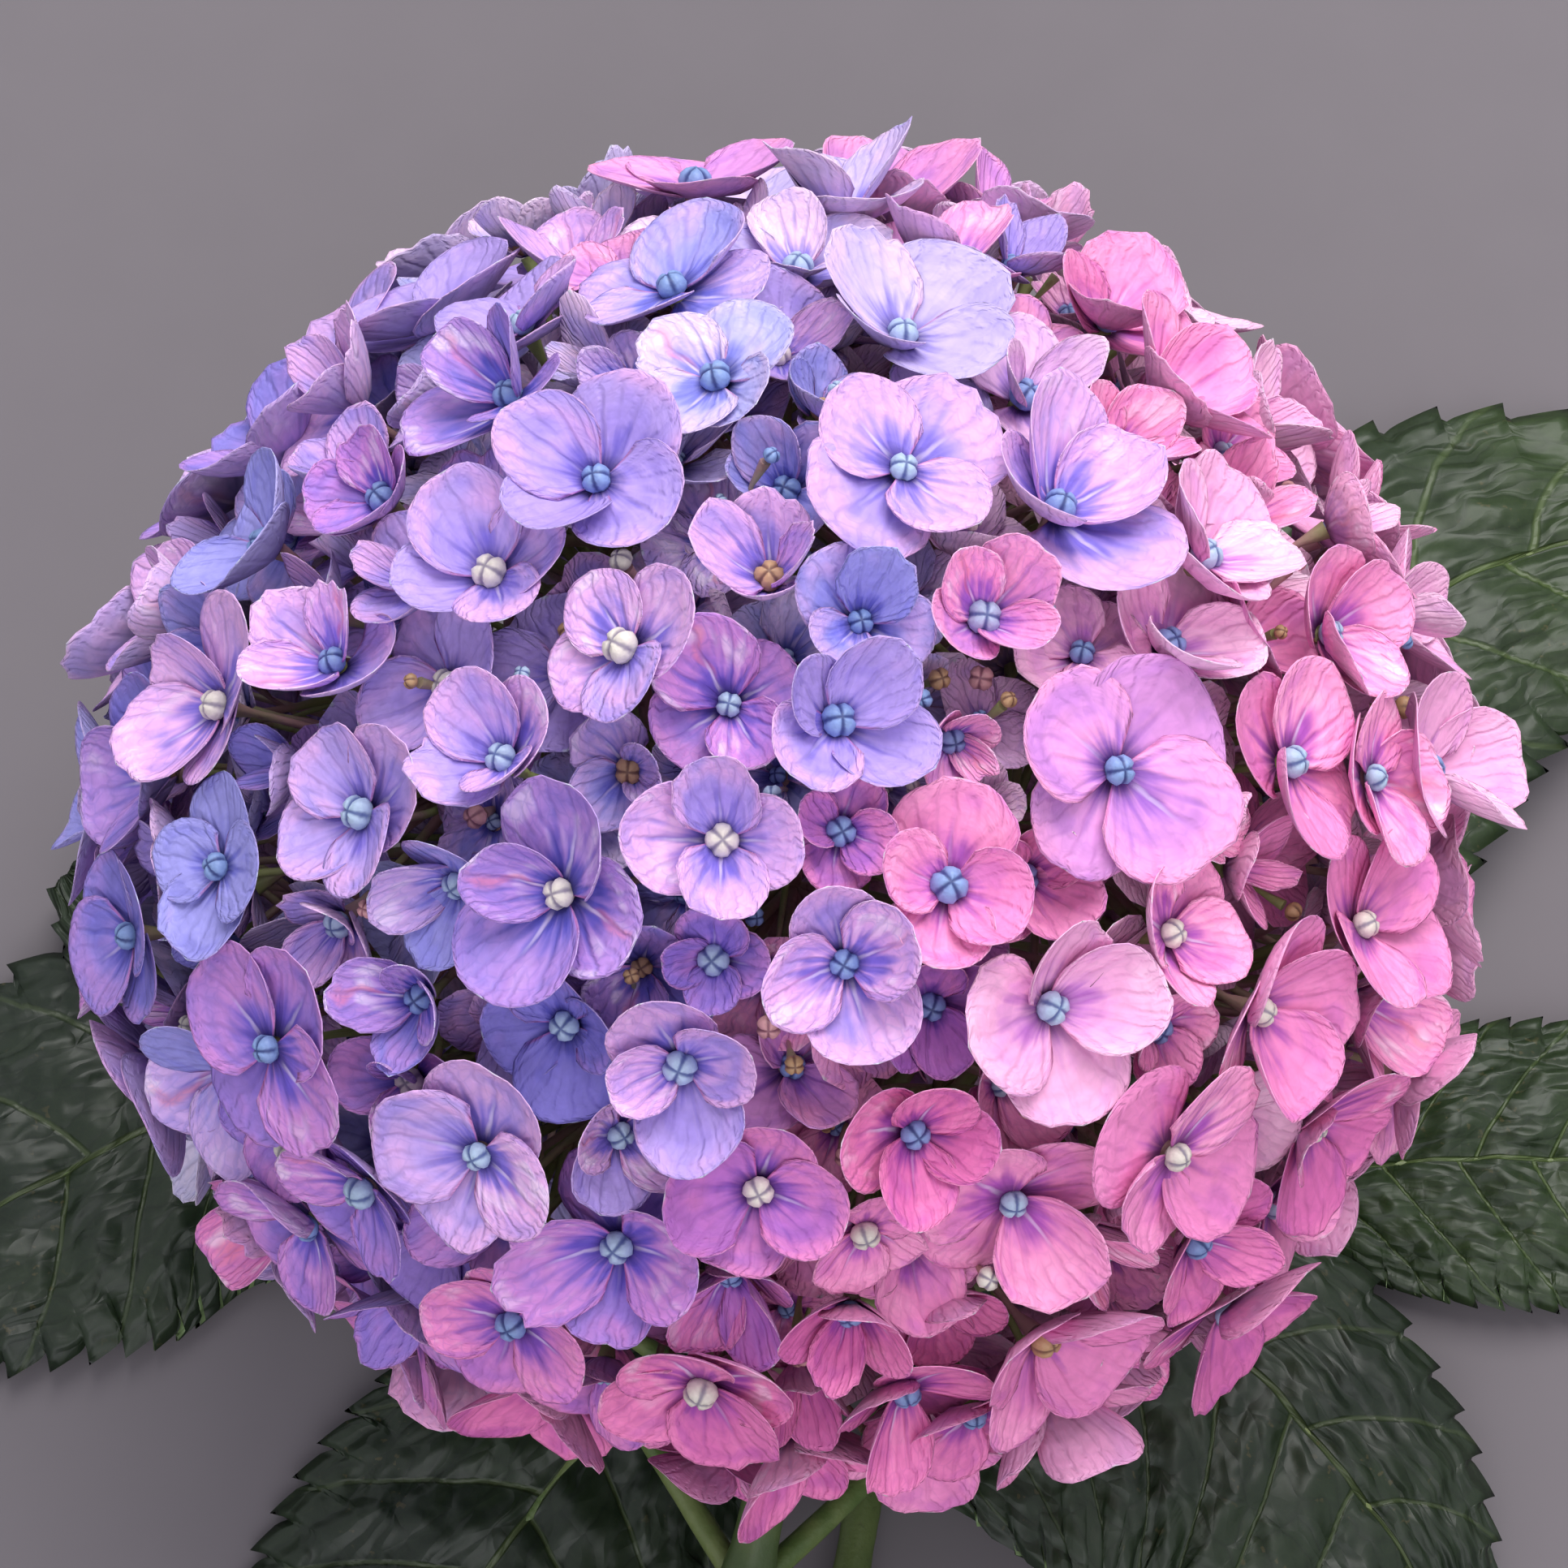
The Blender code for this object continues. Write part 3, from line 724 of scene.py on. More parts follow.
MILKY_CHANCE, MILKY_SIDE = 0.03, 0.25
PICTURE_UP = Vector((0, 0.94, 0.34))
# The deep layer takes paler tints: painted fill light for the shade inside the head.
LAYER_PAINTED_FILL = {"full": 0.0, "young": 0.0, "deep": 0.3}
PINK_SPREAD, PALE_SPREAD, PALE_WEIGHT = 0.13, 0.18, 0.6


def soft_step(value, low, high):
    t = limited((value - low) / (high - low), (0, 1))
    return t * t * (3 - 2 * t)


def tint_of(eye, layer, rng):
    """The name of a floret's tint: bluest at the head's upper left, pinkest at its right and low down."""
    out = (eye - BLOOM_CENTRE).normalized()
    x, up = out.x, out.dot(PICTURE_UP)
    if layer == "full" and x < MILKY_SIDE and rng.random() < MILKY_CHANCE:
        return "milk"
    pinkness = 0.2 + 0.8 * soft_step(x - 0.42 * up, -0.15, 0.6) + 0.7 * max(0.0, -up - 0.35)
    pinkness += 0.34 * soft_step(up + 0.5 * x, 0.55, 0.95) + rng.gauss(0, PINK_SPREAD)
    # Paleness: a random spread of the florets' own tints, plus painted light, paler towards the top and the
    # right where the key light falls.
    paleness_and_painted_light = 0.46 + 0.18 * x + 0.28 * up + rng.gauss(0, PALE_SPREAD) + LAYER_PAINTED_FILL[layer]

    def unlike(name):
        pink, pale = TINTS[name][:2]
        return math.hypot(pink - limited(pinkness, (0, 1)), PALE_WEIGHT * (pale - paleness_and_painted_light))

    return min(TINTS, key=unlike)


# %% [markdown]
# ## The finish of a sepal
#
# Up close a sepal isn't one colour. Fine veins fork from its foot, a net of smaller ones lies between them,
# the foot is deep blue or violet, and the rim is thin and pale. A few have washed out patches or a salmon
# streak. Round the eye a painted shadow darkens each sepal's foot. All of it is drawn with sums on the
# layout that runs from foot to rim, so it turns and bends with the sepal.

# %% The sepals' finish
PALE_RIM = screen(240, 214, 240)
WASHED = screen(240, 226, 240)
SALMON = screen(222, 120, 138)
ROSE_EDGE = screen(196, 82, 136)
PALE_VEIN = screen(232, 214, 242)
TIP = screen(196, 214, 212)
BACK = screen(222, 208, 230)
VEIN_LEVELS = ((5, 0.0, 1.0), (10, 0.3, 0.8), (20, 0.6, 0.6))  # rays to a sepal, where they start, strength


def forked_veins(angle, along, wander):
    """Rays that double twice on their way to the rim, as soft lines from 0 to 1."""
    lines = None
    for rays, start, strength in VEIN_LEVELS:
        drift = angle * (rays / 2) + wander * along * (0.9 * rays / 5)
        width = drift.from_whole() * along * (1 / rays)
        line = width.step(0.014, 0.0) * along.step(start, start + 0.2) * strength
        lines = line if lines is None else lines.most(line)
    return lines


def sepal_finish(name, body, outer, foot):
    body, outer, foot = screen(*body), screen(*outer), screen(*foot)
    finish = Finish("floret_" + name, roughness=0.55, specular=0.3)
    across, along = finish.across_and_along("foot_to_tip")
    whim = finish.attribute("whim")
    angle = (across - 0.5) * 2
    mottle = finish.cloud(2.4, 1.0, finish.vector(along + whim * 37, angle * along)) - 0.5
    streaks = finish.cloud(1.0, 1.0, finish.vector(angle * 6 + whim * 53, along * 2.4)) - 0.5
    grain = finish.cloud(9.0, 2.0, finish.vector(along + whim * 71, angle * along)) - 0.5
    veins = forked_veins(angle, along, mottle + grain * 0.3)
    fan = finish.vector(angle * 7 + mottle + whim * 91, along * 6 + streaks)
    net = finish.cells(1.0, fan).step(0.13, 0.0) * along.step(0.15, 0.5)

    towards_rim = along * 0.65 + mottle * 1.15 + streaks * 0.5 + whim * 1.5 - 0.68
    colour = finish.mix(towards_rim.step(0.1, 0.95), body, outer)
    blue_patch = (mottle * 1.3 - streaks * 0.5).step(-0.04, -0.3) * 0.28
    reach = along + mottle * 0.35 + streaks * 0.5 - veins * 0.1 + angle.size() * 0.1 - (whim - 0.5) * 0.25
    colour = finish.mix(blue_patch.most(reach.step(0.42, 0.02) * 0.9), colour, foot)
    washed = (mottle + streaks * 0.5).step(0.06, 0.3) * whim.step(0.55, 0.9) * along.step(0.15, 0.5) * 0.5
    colour = finish.mix(washed, colour, WASHED)
    streak = (angle + mottle * 0.5).size().step(0.1, 0.01) * whim.step(0.82, 0.9) * along.step(0.1, 0.3)
    colour = finish.mix(streak * along.step(0.95, 0.6) * 0.5, colour, SALMON)
    lined = veins.most(net * 0.8)
    dark = tuple(0.55 * b + 0.25 * f for b, f in zip(body[:3], foot[:3]))
    colour = finish.mix(lined * (whim * 0.16 + 0.2), colour, (*dark, 1.0))
    pale_line = (angle.size() * along).step(0.013, 0.002) * along.step(0.45, 0.2) * along.step(0.03, 0.1)
    colour = finish.mix(pale_line * whim.step(0.3, 0.7) * 0.5, colour, PALE_VEIN)
    side_edge = angle.size().step(0.93, 0.99) * along.step(0.9, 0.4)
    colour = finish.mix(side_edge * 0.45, colour, ROSE_EDGE)
    colour = finish.mix(along.step(0.975, 1.0) * 0.08, colour, PALE_RIM)
    tip = angle.size().step(0.06, 0.01) * along.step(0.94, 0.99)
    colour = finish.mix(tip * 0.6, colour, TIP)
    colour = finish.mix(finish.attribute("under") * 0.28, colour, BACK)
    # Painted shadow: each sepal is darker towards its foot, round the eye, where the bud and its neighbours
    # shade it.
    painted_eye_shadow = along.step(0.02, 0.2) * 0.4 + 0.6
    uneven = 1.0 + streaks * 0.14 + grain * 0.3 + (whim - 0.5) * 0.14
    finish.feed("Base Color", finish.shade(colour, painted_eye_shadow * uneven))
    finish.relief(streaks * 0.7 + mottle * 1.6 + grain * 0.5 - veins * 0.6, 0.25 * MM)
    return finish.material


# %% Deal the florets into pieces by tint
SEPAL_THICKNESS, SEPAL_THIN_RIM = 0.26 * MM, 0.6
TINT_SEED = 40000
FLORET_WHIM, SEPAL_WHIM = 0.14, 0.19  # how much florets differ, and the sepals of one floret

groups = {}
for place, layer, seed, surfaces in florets:
    rng = random.Random(seed + TINT_SEED)
    tint = tint_of(place[0], layer, rng)
    own = rng.gauss(0.5, FLORET_WHIM)
    whims = [limited(own + rng.gauss(0, SEPAL_WHIM), (0, 1)) for _ in surfaces]
    bundle = groups.setdefault((tint, layer), ([], []))
    bundle[0].extend(surfaces)
    bundle[1].extend(whims)

palette = {name: sepal_finish(name, *values[2:]) for name, values in TINTS.items()}
palette["milk"] = sepal_finish(*MILKY)
for (tint, layer), (surfaces, whims) in sorted(groups.items()):
    name = f"{layer}_florets_{tint}"
    piece = thin_shells(name, surfaces, SEPAL_THICKNESS, np.array(whims), SEPAL_THIN_RIM)
    piece.data.materials.append(palette[tint])
    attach(piece, "root")
    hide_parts("bloom")
    print(name, len(surfaces) // 4, "florets,", 2 * len(piece.data.polygons), "triangles")

# %% [markdown]
# ## The eyes
#
# In the middle of each floret sits a closed bud the size of a peppercorn, with four lobes and a
# cross-shaped seam. One bud is made once. Geometry Nodes then put a copy on every eye, turned to face the
# way the floret faces. The copies are made real at the end, because a saved model would drop them
# otherwise.

# %% One bud
BUD_RADIUS = 2.1 * MM
BUD_RINGS, BUD_SIDES, BUD_CROWDING = 7, 16, 1.25  # crowding puts more rings on the bud's top
BUD_SHARES = {"full": 1.0, "young": 0.86, "deep": 0.6}
BUD_FLATNESS, SEAM_DEPTH, SEAM_WIDTH = 0.86, 0.22, 0.13


def mesh_object(name, points, edges, faces, **values):
    """An object from lists, with smooth faces and with named values on its points."""
    mesh = bpy.data.meshes.new(name)
    mesh.from_pydata(points, edges, faces)
    mesh.polygons.foreach_set("use_smooth", [True] * len(faces))
    for label, found in values.items():
        vectors = isinstance(found[0], Vector)
        layer = mesh.attributes.new(label, "FLOAT_VECTOR" if vectors else "FLOAT", "POINT")
        flat = [c for v in found for c in v] if vectors else found
        layer.data.foreach_set("vector" if vectors else "value", flat)
    return link(name, mesh)


def bump(distance, width):
    """1 at no distance, and near 0 from twice the width on."""
    return math.exp(-((distance / width) ** 2))


def ring_faces(rings, sides):
    """The faces between rings of points that follow each other."""
    faces = []
    for i in range(rings - 1):
        for k in range(sides):
            a, b = i * sides + k, i * sides + (k + 1) % sides
            faces.append((a, b, b + sides, a + sides))
    return faces


def one_bud():
    """A closed ball with two crossing grooves. Its seam value is 1 in a groove."""
    points, seams = [], []
    for i in range(1, BUD_RINGS):
        polar = math.pi * (i / BUD_RINGS) ** BUD_CROWDING
        for k in range(BUD_SIDES):
            turn = math.tau * k / BUD_SIDES
            x, y = math.sin(polar) * math.cos(turn), math.sin(polar) * math.sin(turn)
            points.append(Vector((x, y, math.cos(polar))))
    points += [Vector((0, 0, 1)), Vector((0, 0, -1))]
    shaped = []
    for p in points:
        seam = bump(min(abs(p.x), abs(p.y)), SEAM_WIDTH) * limited(p.z + 0.8, (0, 1))
        seams.append(seam)
        shaped.append(Vector((p.x, p.y, p.z * BUD_FLATNESS)) * (1 - SEAM_DEPTH * seam) * BUD_RADIUS)
    faces = [(a, d, c, b) for a, b, c, d in ring_faces(BUD_RINGS - 1, BUD_SIDES)]
    top, foot, last = len(points) - 2, len(points) - 1, (BUD_RINGS - 2) * BUD_SIDES
    for k in range(BUD_SIDES):
        after = (k + 1) % BUD_SIDES
        faces.append((top, k, after))
        faces.append((foot, last + after, last + k))
    return mesh_object("bud", shaped, [], faces, seam=seams)


# %% A growth rule: a copy on each point
def growth(name, inputs):
    """An empty rule with named inputs. It gives back a tree to add nodes to, and the inputs."""
    tree = bpy.data.node_groups.new(name, "GeometryNodeTree")
    tree.interface.new_socket("Geometry", in_out="INPUT", socket_type="NodeSocketGeometry")
    for label, kind in inputs.items():
        tree.interface.new_socket(label, in_out="INPUT", socket_type="NodeSocket" + kind)
    tree.interface.new_socket("Geometry", in_out="OUTPUT", socket_type="NodeSocketGeometry")
    net = Net(tree)
    return net, net.node("NodeGroupInput").outputs


def named(net, name, kind):
    node = net.node("GeometryNodeInputNamedAttribute", {"data_type": kind}, {"Name": name})
    return node.outputs["Attribute"]


def finish_growth(net, geometry, material):
    """Every rule ends the same way: real meshes, then the material."""
    real = net.node("GeometryNodeRealizeInstances", sockets={"Geometry": geometry}).outputs[0]
    dressed = net.node("GeometryNodeSetMaterial", sockets={"Geometry": real, "Material": material})
    net.node("NodeGroupOutput", sockets={"Geometry": dressed.outputs[0]})


def bud_rule():
    net, given = growth("buds_on_eyes", {"Bud": "Object", "Size": "Float", "Material": "Material"})
    bud = net.node("GeometryNodeObjectInfo", sockets={"Object": given["Bud"]}).outputs["Geometry"]
    axes = {"primary_axis": "Z", "secondary_axis": "X"}
    rotation = net.node("FunctionNodeAxesToRotation", axes, {
        "Primary Axis": named(net, "facing", "FLOAT_VECTOR"),
        "Secondary Axis": named(net, "side", "FLOAT_VECTOR"),
    }).outputs[0]
    scaled = Signal(net, named(net, "size", "FLOAT")) * given["Size"]
    copies = net.node("GeometryNodeInstanceOnPoints", sockets={
        "Points": given["Geometry"], "Instance": bud, "Rotation": rotation, "Scale": scaled,
    }).outputs[0]
    finish_growth(net, copies, given["Material"])
    return net.tree


def grow(obj, tree, values):
    """Runs a rule on an object and keeps its result as a plain mesh."""
    modifier = obj.modifiers.new(tree.name, "NODES")
    modifier.node_group = tree
    for item in tree.interface.items_tree:
        if item.in_out == "INPUT" and item.name in values:
            modifier[item.identifier] = values[item.name]
    graph = bpy.context.evaluated_depsgraph_get()
    graph.update()
    result = bpy.data.meshes.new_from_object(obj.evaluated_get(graph))
    obj.modifiers.clear()
    obj.data = result


# %% Buds of five colours
# Name: the lobes' and the seam's colour, then how often an eye and a closed bud in a gap has it.
BUD_COLOURS = {
    "blue": ((124, 148, 196), (40, 54, 112), 0.42, 0.2),
    "sky": ((164, 184, 208), (70, 86, 140), 0.41, 0.2),
    "cream": ((214, 206, 196), (132, 122, 140), 0.12, 0.25),
    "tan": ((182, 146, 108), (110, 76, 62), 0.05, 0.2),
    "rosy": ((204, 150, 152), (132, 80, 96), 0.0, 0.35),
}


def bud_finish(name, body, seam):
    finish = Finish("bud_" + name, roughness=0.45, specular=0.4)
    speckle = finish.cloud(1500, 3.0)
    colour = finish.mix(finish.attribute("seam").step(0.2, 0.9) * 0.9, screen(*body), screen(*seam))
    finish.feed("Base Color", finish.shade(colour, 0.8 + speckle * 0.4))
    finish.relief(speckle, 0.1 * MM)
    return finish.material


def bud_colour(rng, column):
    """A colour's name, drawn with the chances in a column of the table."""
    return rng.choices(list(BUD_COLOURS), [values[column] for values in BUD_COLOURS.values()])[0]


EYE_SEED, EYE_SPREAD = 80000, (0.88, 1.12)

eyes = {name: [] for name in BUD_COLOURS}
for place, layer, seed, _ in florets:
    rng = random.Random(seed + EYE_SEED)
    eyes[bud_colour(rng, 2)].append((place, BUD_SHARES[layer] * rng.uniform(*EYE_SPREAD)))


# %% Closed buds in the gaps
CLOSED_BUDS, CLOSED_TRIES, CLOSED_DEPTHS = 130, 20000, (3 * MM, 12 * MM)
CLOSED_SIZES, CLOSED_CLEARANCE, CLOSED_SPACING = (0.45, 0.8), 2.6 * MM, 4.6 * MM


def sepal_tree():
    """All sepals as one tree, to see what is in the way of a bud."""
    points, faces = [], []
    for *_, surfaces in florets:
        for surface in surfaces:
            faces += (grid_quads(*surface.shape[:2]) + len(points)).tolist()
            points += surface.reshape(-1, 3).tolist()
    return BVHTree.FromPolygons(points, faces)


def closed_bud_places(seed):
    """Spots that can be seen from outside and are clear of every sepal, leaf and stem."""
    rng = random.Random(seed)
    trees = [sepal_tree(), *obstacles]
    found = []
    for _ in range(CLOSED_TRIES):
        polar, turn = polar_at(rng.random()), rng.uniform(0, math.tau)
        out = ball_direction(polar, turn)
        spot = BLOOM_CENTRE + out * (ball_radius(polar, turn) - rng.uniform(*CLOSED_DEPTHS))
        free = all(tree.find_nearest(spot, CLOSED_CLEARANCE)[0] is None for tree in trees)
        if not free or spot.z < CLOSED_CLEARANCE or trees[0].ray_cast(spot, out)[0] is not None:
            continue
        if any((spot - other[0]).length < CLOSED_SPACING for other in found):
            continue
        lean = random_lean(rng, GAP_LEAN)
        found.append((spot, (out + lean).normalized(), rng.uniform(0, math.tau)))
    return found[:CLOSED_BUDS]


closed_places = closed_bud_places(seed=9)
rng = random.Random(10)
for place in closed_places:
    eyes[bud_colour(rng, 3)].append((place, rng.uniform(*CLOSED_SIZES)))
print(len(closed_places), "closed buds stand in the gaps")


# %% A bud on every eye
BUD_LIFT = 1.75  # millimetres from the eye to the middle of a full floret's bud

bud = one_bud()
rule = bud_rule()
for name, found in eyes.items():
    centres = [place[0] + place[1] * BUD_LIFT * MM * size for place, size in found]
    piece = mesh_object("buds_" + name, centres, [], [], facing=[place[1] for place, _ in found],
                        side=[floret_side(place[1], place[2] + math.pi / 4) for place, _ in found],
                        size=[size for _, size in found])
    grow(piece, rule, {"Bud": bud, "Size": 1.0, "Material": bud_finish(name, *BUD_COLOURS[name][:2])})
    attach(piece, "root")
    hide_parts("bloom")
    print("buds_" + name, len(found))
bpy.data.objects.remove(bud, do_unlink=True)

# %% [markdown]
# ## The branches inside the head
#
# The florets hang on thin stalks that meet in larger branches, and those meet at the top of the stem. Most
# of this is hidden, but the gaps show green and tan stalks, and the open underside shows the branches. Each
# branch is a line of points with a radius. A growth rule turns the lines into tubes, with ends closed.

# %% Lines of the branches
BRANCH_START = BLOOM_CENTRE - BLOOM_AXIS * 72 * MM
BRANCH_RINGS = ((139, 9, 0.80), (108, 9, 0.62), (70, 7, 0.60), (30, 4, 0.58), (0, 1, 0.5))
BRANCH_POINTS, BRANCH_RADII = 9, (1.9 * MM, 1.1 * MM)
LOW_POLAR, LOW_BOW, HIGH_BOW = 120, -8, 6  # degrees, then millimetres that a branch bows along the axis
STALK_DEPTHS = (26, 13, 0.4)  # millimetres below an eye where its stalk should leave, bend and end
PEDICEL_RADII = (0.75 * MM, 0.55 * MM, 1.3 * MM)
CLOSED_STALK = 0.6  # a closed bud's stalk against a floret's


def bent_line(start, middle, end, count):
    """Points of a smooth bow."""
    found = []
    for i in range(count):
        t = i / (count - 1)
        found.append(start * (1 - t) ** 2 + middle * 2 * t * (1 - t) + end * t**2)
    return found


def branch_lines():
    """The main branches and, for every floret, the stalk that leaves the branch nearest to it."""
    lines, tips = [], []
    thick, thin = BRANCH_RADII
    for polar, count, share in BRANCH_RINGS:
        for k in range(count):
            spot = math.radians(polar), math.tau * (k + 0.3) / count
            tip = BLOOM_CENTRE + ball_direction(*spot) * ball_radius(*spot) * share
            bow = LOW_BOW if polar > LOW_POLAR else HIGH_BOW
            middle = BRANCH_START.lerp(tip, 0.45) + BLOOM_AXIS * bow * MM
            line = bent_line(BRANCH_START, middle, tip, BRANCH_POINTS)
            steps = range(BRANCH_POINTS)
            radii = [thick + (thin - thick) * i / steps[-1] for i in steps]
            lines.append((line, radii))
            tips += line[BRANCH_POINTS // 2 + 1:]
    stalks = [(floret[0], 1.0) for floret in florets] + [(place, CLOSED_STALK) for place in closed_places]
    for (eye, face, *_), share in stalks:
        wanted, bend, end = [eye - face * depth * MM for depth in STALK_DEPTHS]
        start = min(tips, key=lambda tip: (tip - wanted).length)
        lower, upper, flare = [radius * share for radius in PEDICEL_RADII]
        widths = [lower] * 3 + [upper] * 4 + [flare]
        lines.append((bent_line(start, bend, end, len(widths)), widths))
    return lines


def line_mesh(name, lines):
    points, edges, radii = [], [], []
    for line, widths in lines:
        first = len(points)
        points += line
        radii += widths
        edges += [(first + i, first + i + 1) for i in range(len(line) - 1)]
    return mesh_object(name, points, edges, [], radius_here=radii)


def tube_rule():
    net, given = growth("tubes_on_lines", {"Sides": "Int", "Material": "Material"})
    curve = net.node("GeometryNodeMeshToCurve", sockets={"Mesh": given["Geometry"]}).outputs[0]
    sizes = {"Resolution": given["Sides"], "Radius": 1.0}
    ring = net.node("GeometryNodeCurvePrimitiveCircle", sockets=sizes)
    tube = net.node("GeometryNodeCurveToMesh", sockets={
        "Curve": curve, "Profile Curve": ring.outputs["Curve"], "Scale": named(net, "radius_here", "FLOAT"),
        "Fill Caps": True,
    }).outputs[0]
    smooth = net.node("GeometryNodeSetShadeSmooth", sockets={"Geometry": tube}).outputs[0]
    finish_growth(net, smooth, given["Material"])
    return net.tree


def branch_finish():
    finish = Finish("branches")
    patchy = finish.cloud(70)
    colour = finish.mix(patchy.step(0.4, 0.62), screen(142, 152, 92), screen(168, 128, 128))
    colour = finish.mix(finish.cloud(500).step(0.6, 0.72) * 0.5, colour, screen(120, 80, 70))
    finish.feed("Base Color", colour)
    finish.relief(finish.cloud(900), 0.15 * MM)
    return finish.material


branches = line_mesh("branches", branch_lines())
grow(branches, tube_rule(), {"Sides": 7, "Material": branch_finish()})
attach(branches, "root")
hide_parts("bloom")
print("branches:", len(branches.data.polygons), "faces")

# %% [markdown]
# ## Stems
#
# The main stem carries the head and the side stem is a young leafy shoot. Both swell where leaves grow in
# pairs. A tube along a smooth line gives the form. Real stems aren't quite round, so the surface gets faint
# ribs and dents, and the cut end shows pale pith inside a green ring.

# %% Lines shared by stems and leaves
CURVE_STEPS = 30
PLAN = Vector((BLOOM_CENTRE.x, BLOOM_CENTRE.y, 0))
JOINT_GAP = 0.3 * MM


def route(*points):
    """Points in millimetres from the spot under the head's centre."""
    return [PLAN + Vector(p) * MM for p in points]


def smooth_line(points):
    """A smooth curve through the points, with as many steps between each two."""
    ends = [2 * points[0] - points[1], *points, 2 * points[-1] - points[-2]]
    found = []
    for k in range(len(points) - 1):
        a, b, c, d = ends[k : k + 4]
        for i in range(CURVE_STEPS):
            t = i / CURVE_STEPS
            bend = (2 * a - 5 * b + 4 * c - d) * t**2 + (3 * b - a - 3 * c + d) * t**3
            found.append(0.5 * (2 * b + (c - a) * t + bend))
    return [*found, points[-1]]


def even_line(line, count):
    """The same line as points at even distances."""
    lengths = [0.0]
    for a, b in zip(line, line[1:]):
        lengths.append(lengths[-1] + (b - a).length)
    found, k = [], 0
    for i in range(count):
        wanted = lengths[-1] * i / (count - 1)
        while k < len(line) - 2 and lengths[k + 1] < wanted:
            k += 1
        share = (wanted - lengths[k]) / (lengths[k + 1] - lengths[k])
        found.append(line[k].lerp(line[k + 1], limited(share, (0, 1))))
    return found


def directions(line):
    last = len(line) - 1
    return [(line[min(i + 1, last)] - line[max(i - 1, 0)]).normalized() for i in range(len(line))]


# %% The stems' routes
STALK_END = BLOOM_CENTRE - BLOOM_AXIS * STALK_REACH
UPPER_NODE = STALK_END - BLOOM_AXIS * 12 * MM
FORK, LOWER_NODE, SIDE_NODE = route((-7, -148, 6.2), (-4.6, -94, 22.5), (21, -50, 4.6))
MAIN_STEM_ROUTE = [*route((-11, -206, 4.8), (-8.5, -176, 4.9)), FORK, *route((-6, -119, 11.8)), LOWER_NODE,
                   UPPER_NODE, STALK_END - BLOOM_AXIS * 5 * MM, STALK_END - BLOOM_AXIS * JOINT_GAP]
MAIN_STEM_RADII = (4.5 * MM, 3.2 * MM)
MAIN_STEM_NODES = ((FORK, 1.42), (LOWER_NODE, 1.45), (UPPER_NODE, 1.35))  # places, and how thick they are
SIDE_STEM_ROUTE = [FORK, *route((0, -133, 6.2), (9, -98, 5.2), (14.5, -70, 4.6)), SIDE_NODE,
                   *route((23, -40, 5))]
SIDE_STEM_RADII = (3.3 * MM, 2.6 * MM)
SIDE_STEM_NODES, SIDE_BUD = ((SIDE_NODE, 1.35),), 0.07
NODE_LENGTH = 4.5 * MM


# %% A tube with relief
END_SHARES, END_PITH = (0.95, 0.72, 0.08), (0.3, 0.7, 1.0)  # widths of an end's rings, and their pith


def tube_rings(line, radii, sides, relief):
    """Rings of points along a line. The relief is how far a spot stands out from the plain tube."""
    rings = []
    side = directions(line)[0].orthogonal().normalized()
    for centre, along, radius in zip(line, directions(line), radii):
        side = (side - along * side.dot(along)).normalized()
        other = along.cross(side)
        ring = []
        for k in range(sides):
            turn = math.tau * k / sides
            out = turned(side, other, turn)
            ring.append(centre + out * (radius + relief(centre + out * radius, turn)))
        rings.append(ring)
    return rings


def with_ends(rings):
    """Adds rings that go in to the middle of each end, and tells how near the pith each ring is."""
    start, end = [
        [[(sum(ring, Vector()) / len(ring)).lerp(p, share) for p in ring] for share in END_SHARES]
        for ring in (rings[0], rings[-1])
    ]
    return [*reversed(start), *rings, *end], [*reversed(END_PITH), *[0.0] * len(rings), *END_PITH]


def tube_object(name, rings):
    rings, pith = with_ends(rings)
    sides = len(rings[0])
    points = [p for ring in rings for p in ring]
    faces = ring_faces(len(rings), sides)
    faces.append(tuple(reversed(range(sides))))
    faces.append(tuple(range(len(points) - sides, len(points))))
    return mesh_object(name, points, [], faces, pith=[value for value in pith for _ in range(sides)])


# %% The stems
STEM_SIDES, STEM_RINGS = 22, 120
BUD_TAPER = 0.75
DENTS = ((0.16, 160), (0.06, 700))  # depth in millimetres, and how fine they are
RIB_COUNT, RIB_HEIGHT = 6, 0.09
SCAR_DEPTH, SCAR_PLACE, SCAR_WIDTH = 0.35, 5 * MM, 0.8 * MM


def stem_radii(line, ends, nodes, bud):
    """An even taper that swells at the nodes and may narrow to a bud at the far end."""
    found = []
    for i, point in enumerate(line):
        place = i / (len(line) - 1)
        swelling = sum((size - 1) * bump((point - at).length, NODE_LENGTH) for at, size in nodes)
        closing = max(0.0, place - 1 + bud) / bud if bud else 0.0
        plain = ends[0] + (ends[1] - ends[0]) * place
        found.append(plain * (1 + swelling) * (1 - BUD_TAPER * closing**2))
    return found


def stem_relief(nodes):
    """Faint ribs and dents, and a ring at each node where the leaves' feet meet."""

    def relief(point, turn):
        dents = sum(depth * noise.noise(point * fineness) for depth, fineness in DENTS)
        ribs = RIB_HEIGHT * math.sin(RIB_COUNT * turn)
        scars = sum(SCAR_DEPTH * bump((point - at).length - SCAR_PLACE, SCAR_WIDTH) for at, _ in nodes)
        return (dents + ribs - scars) * MM

    return relief


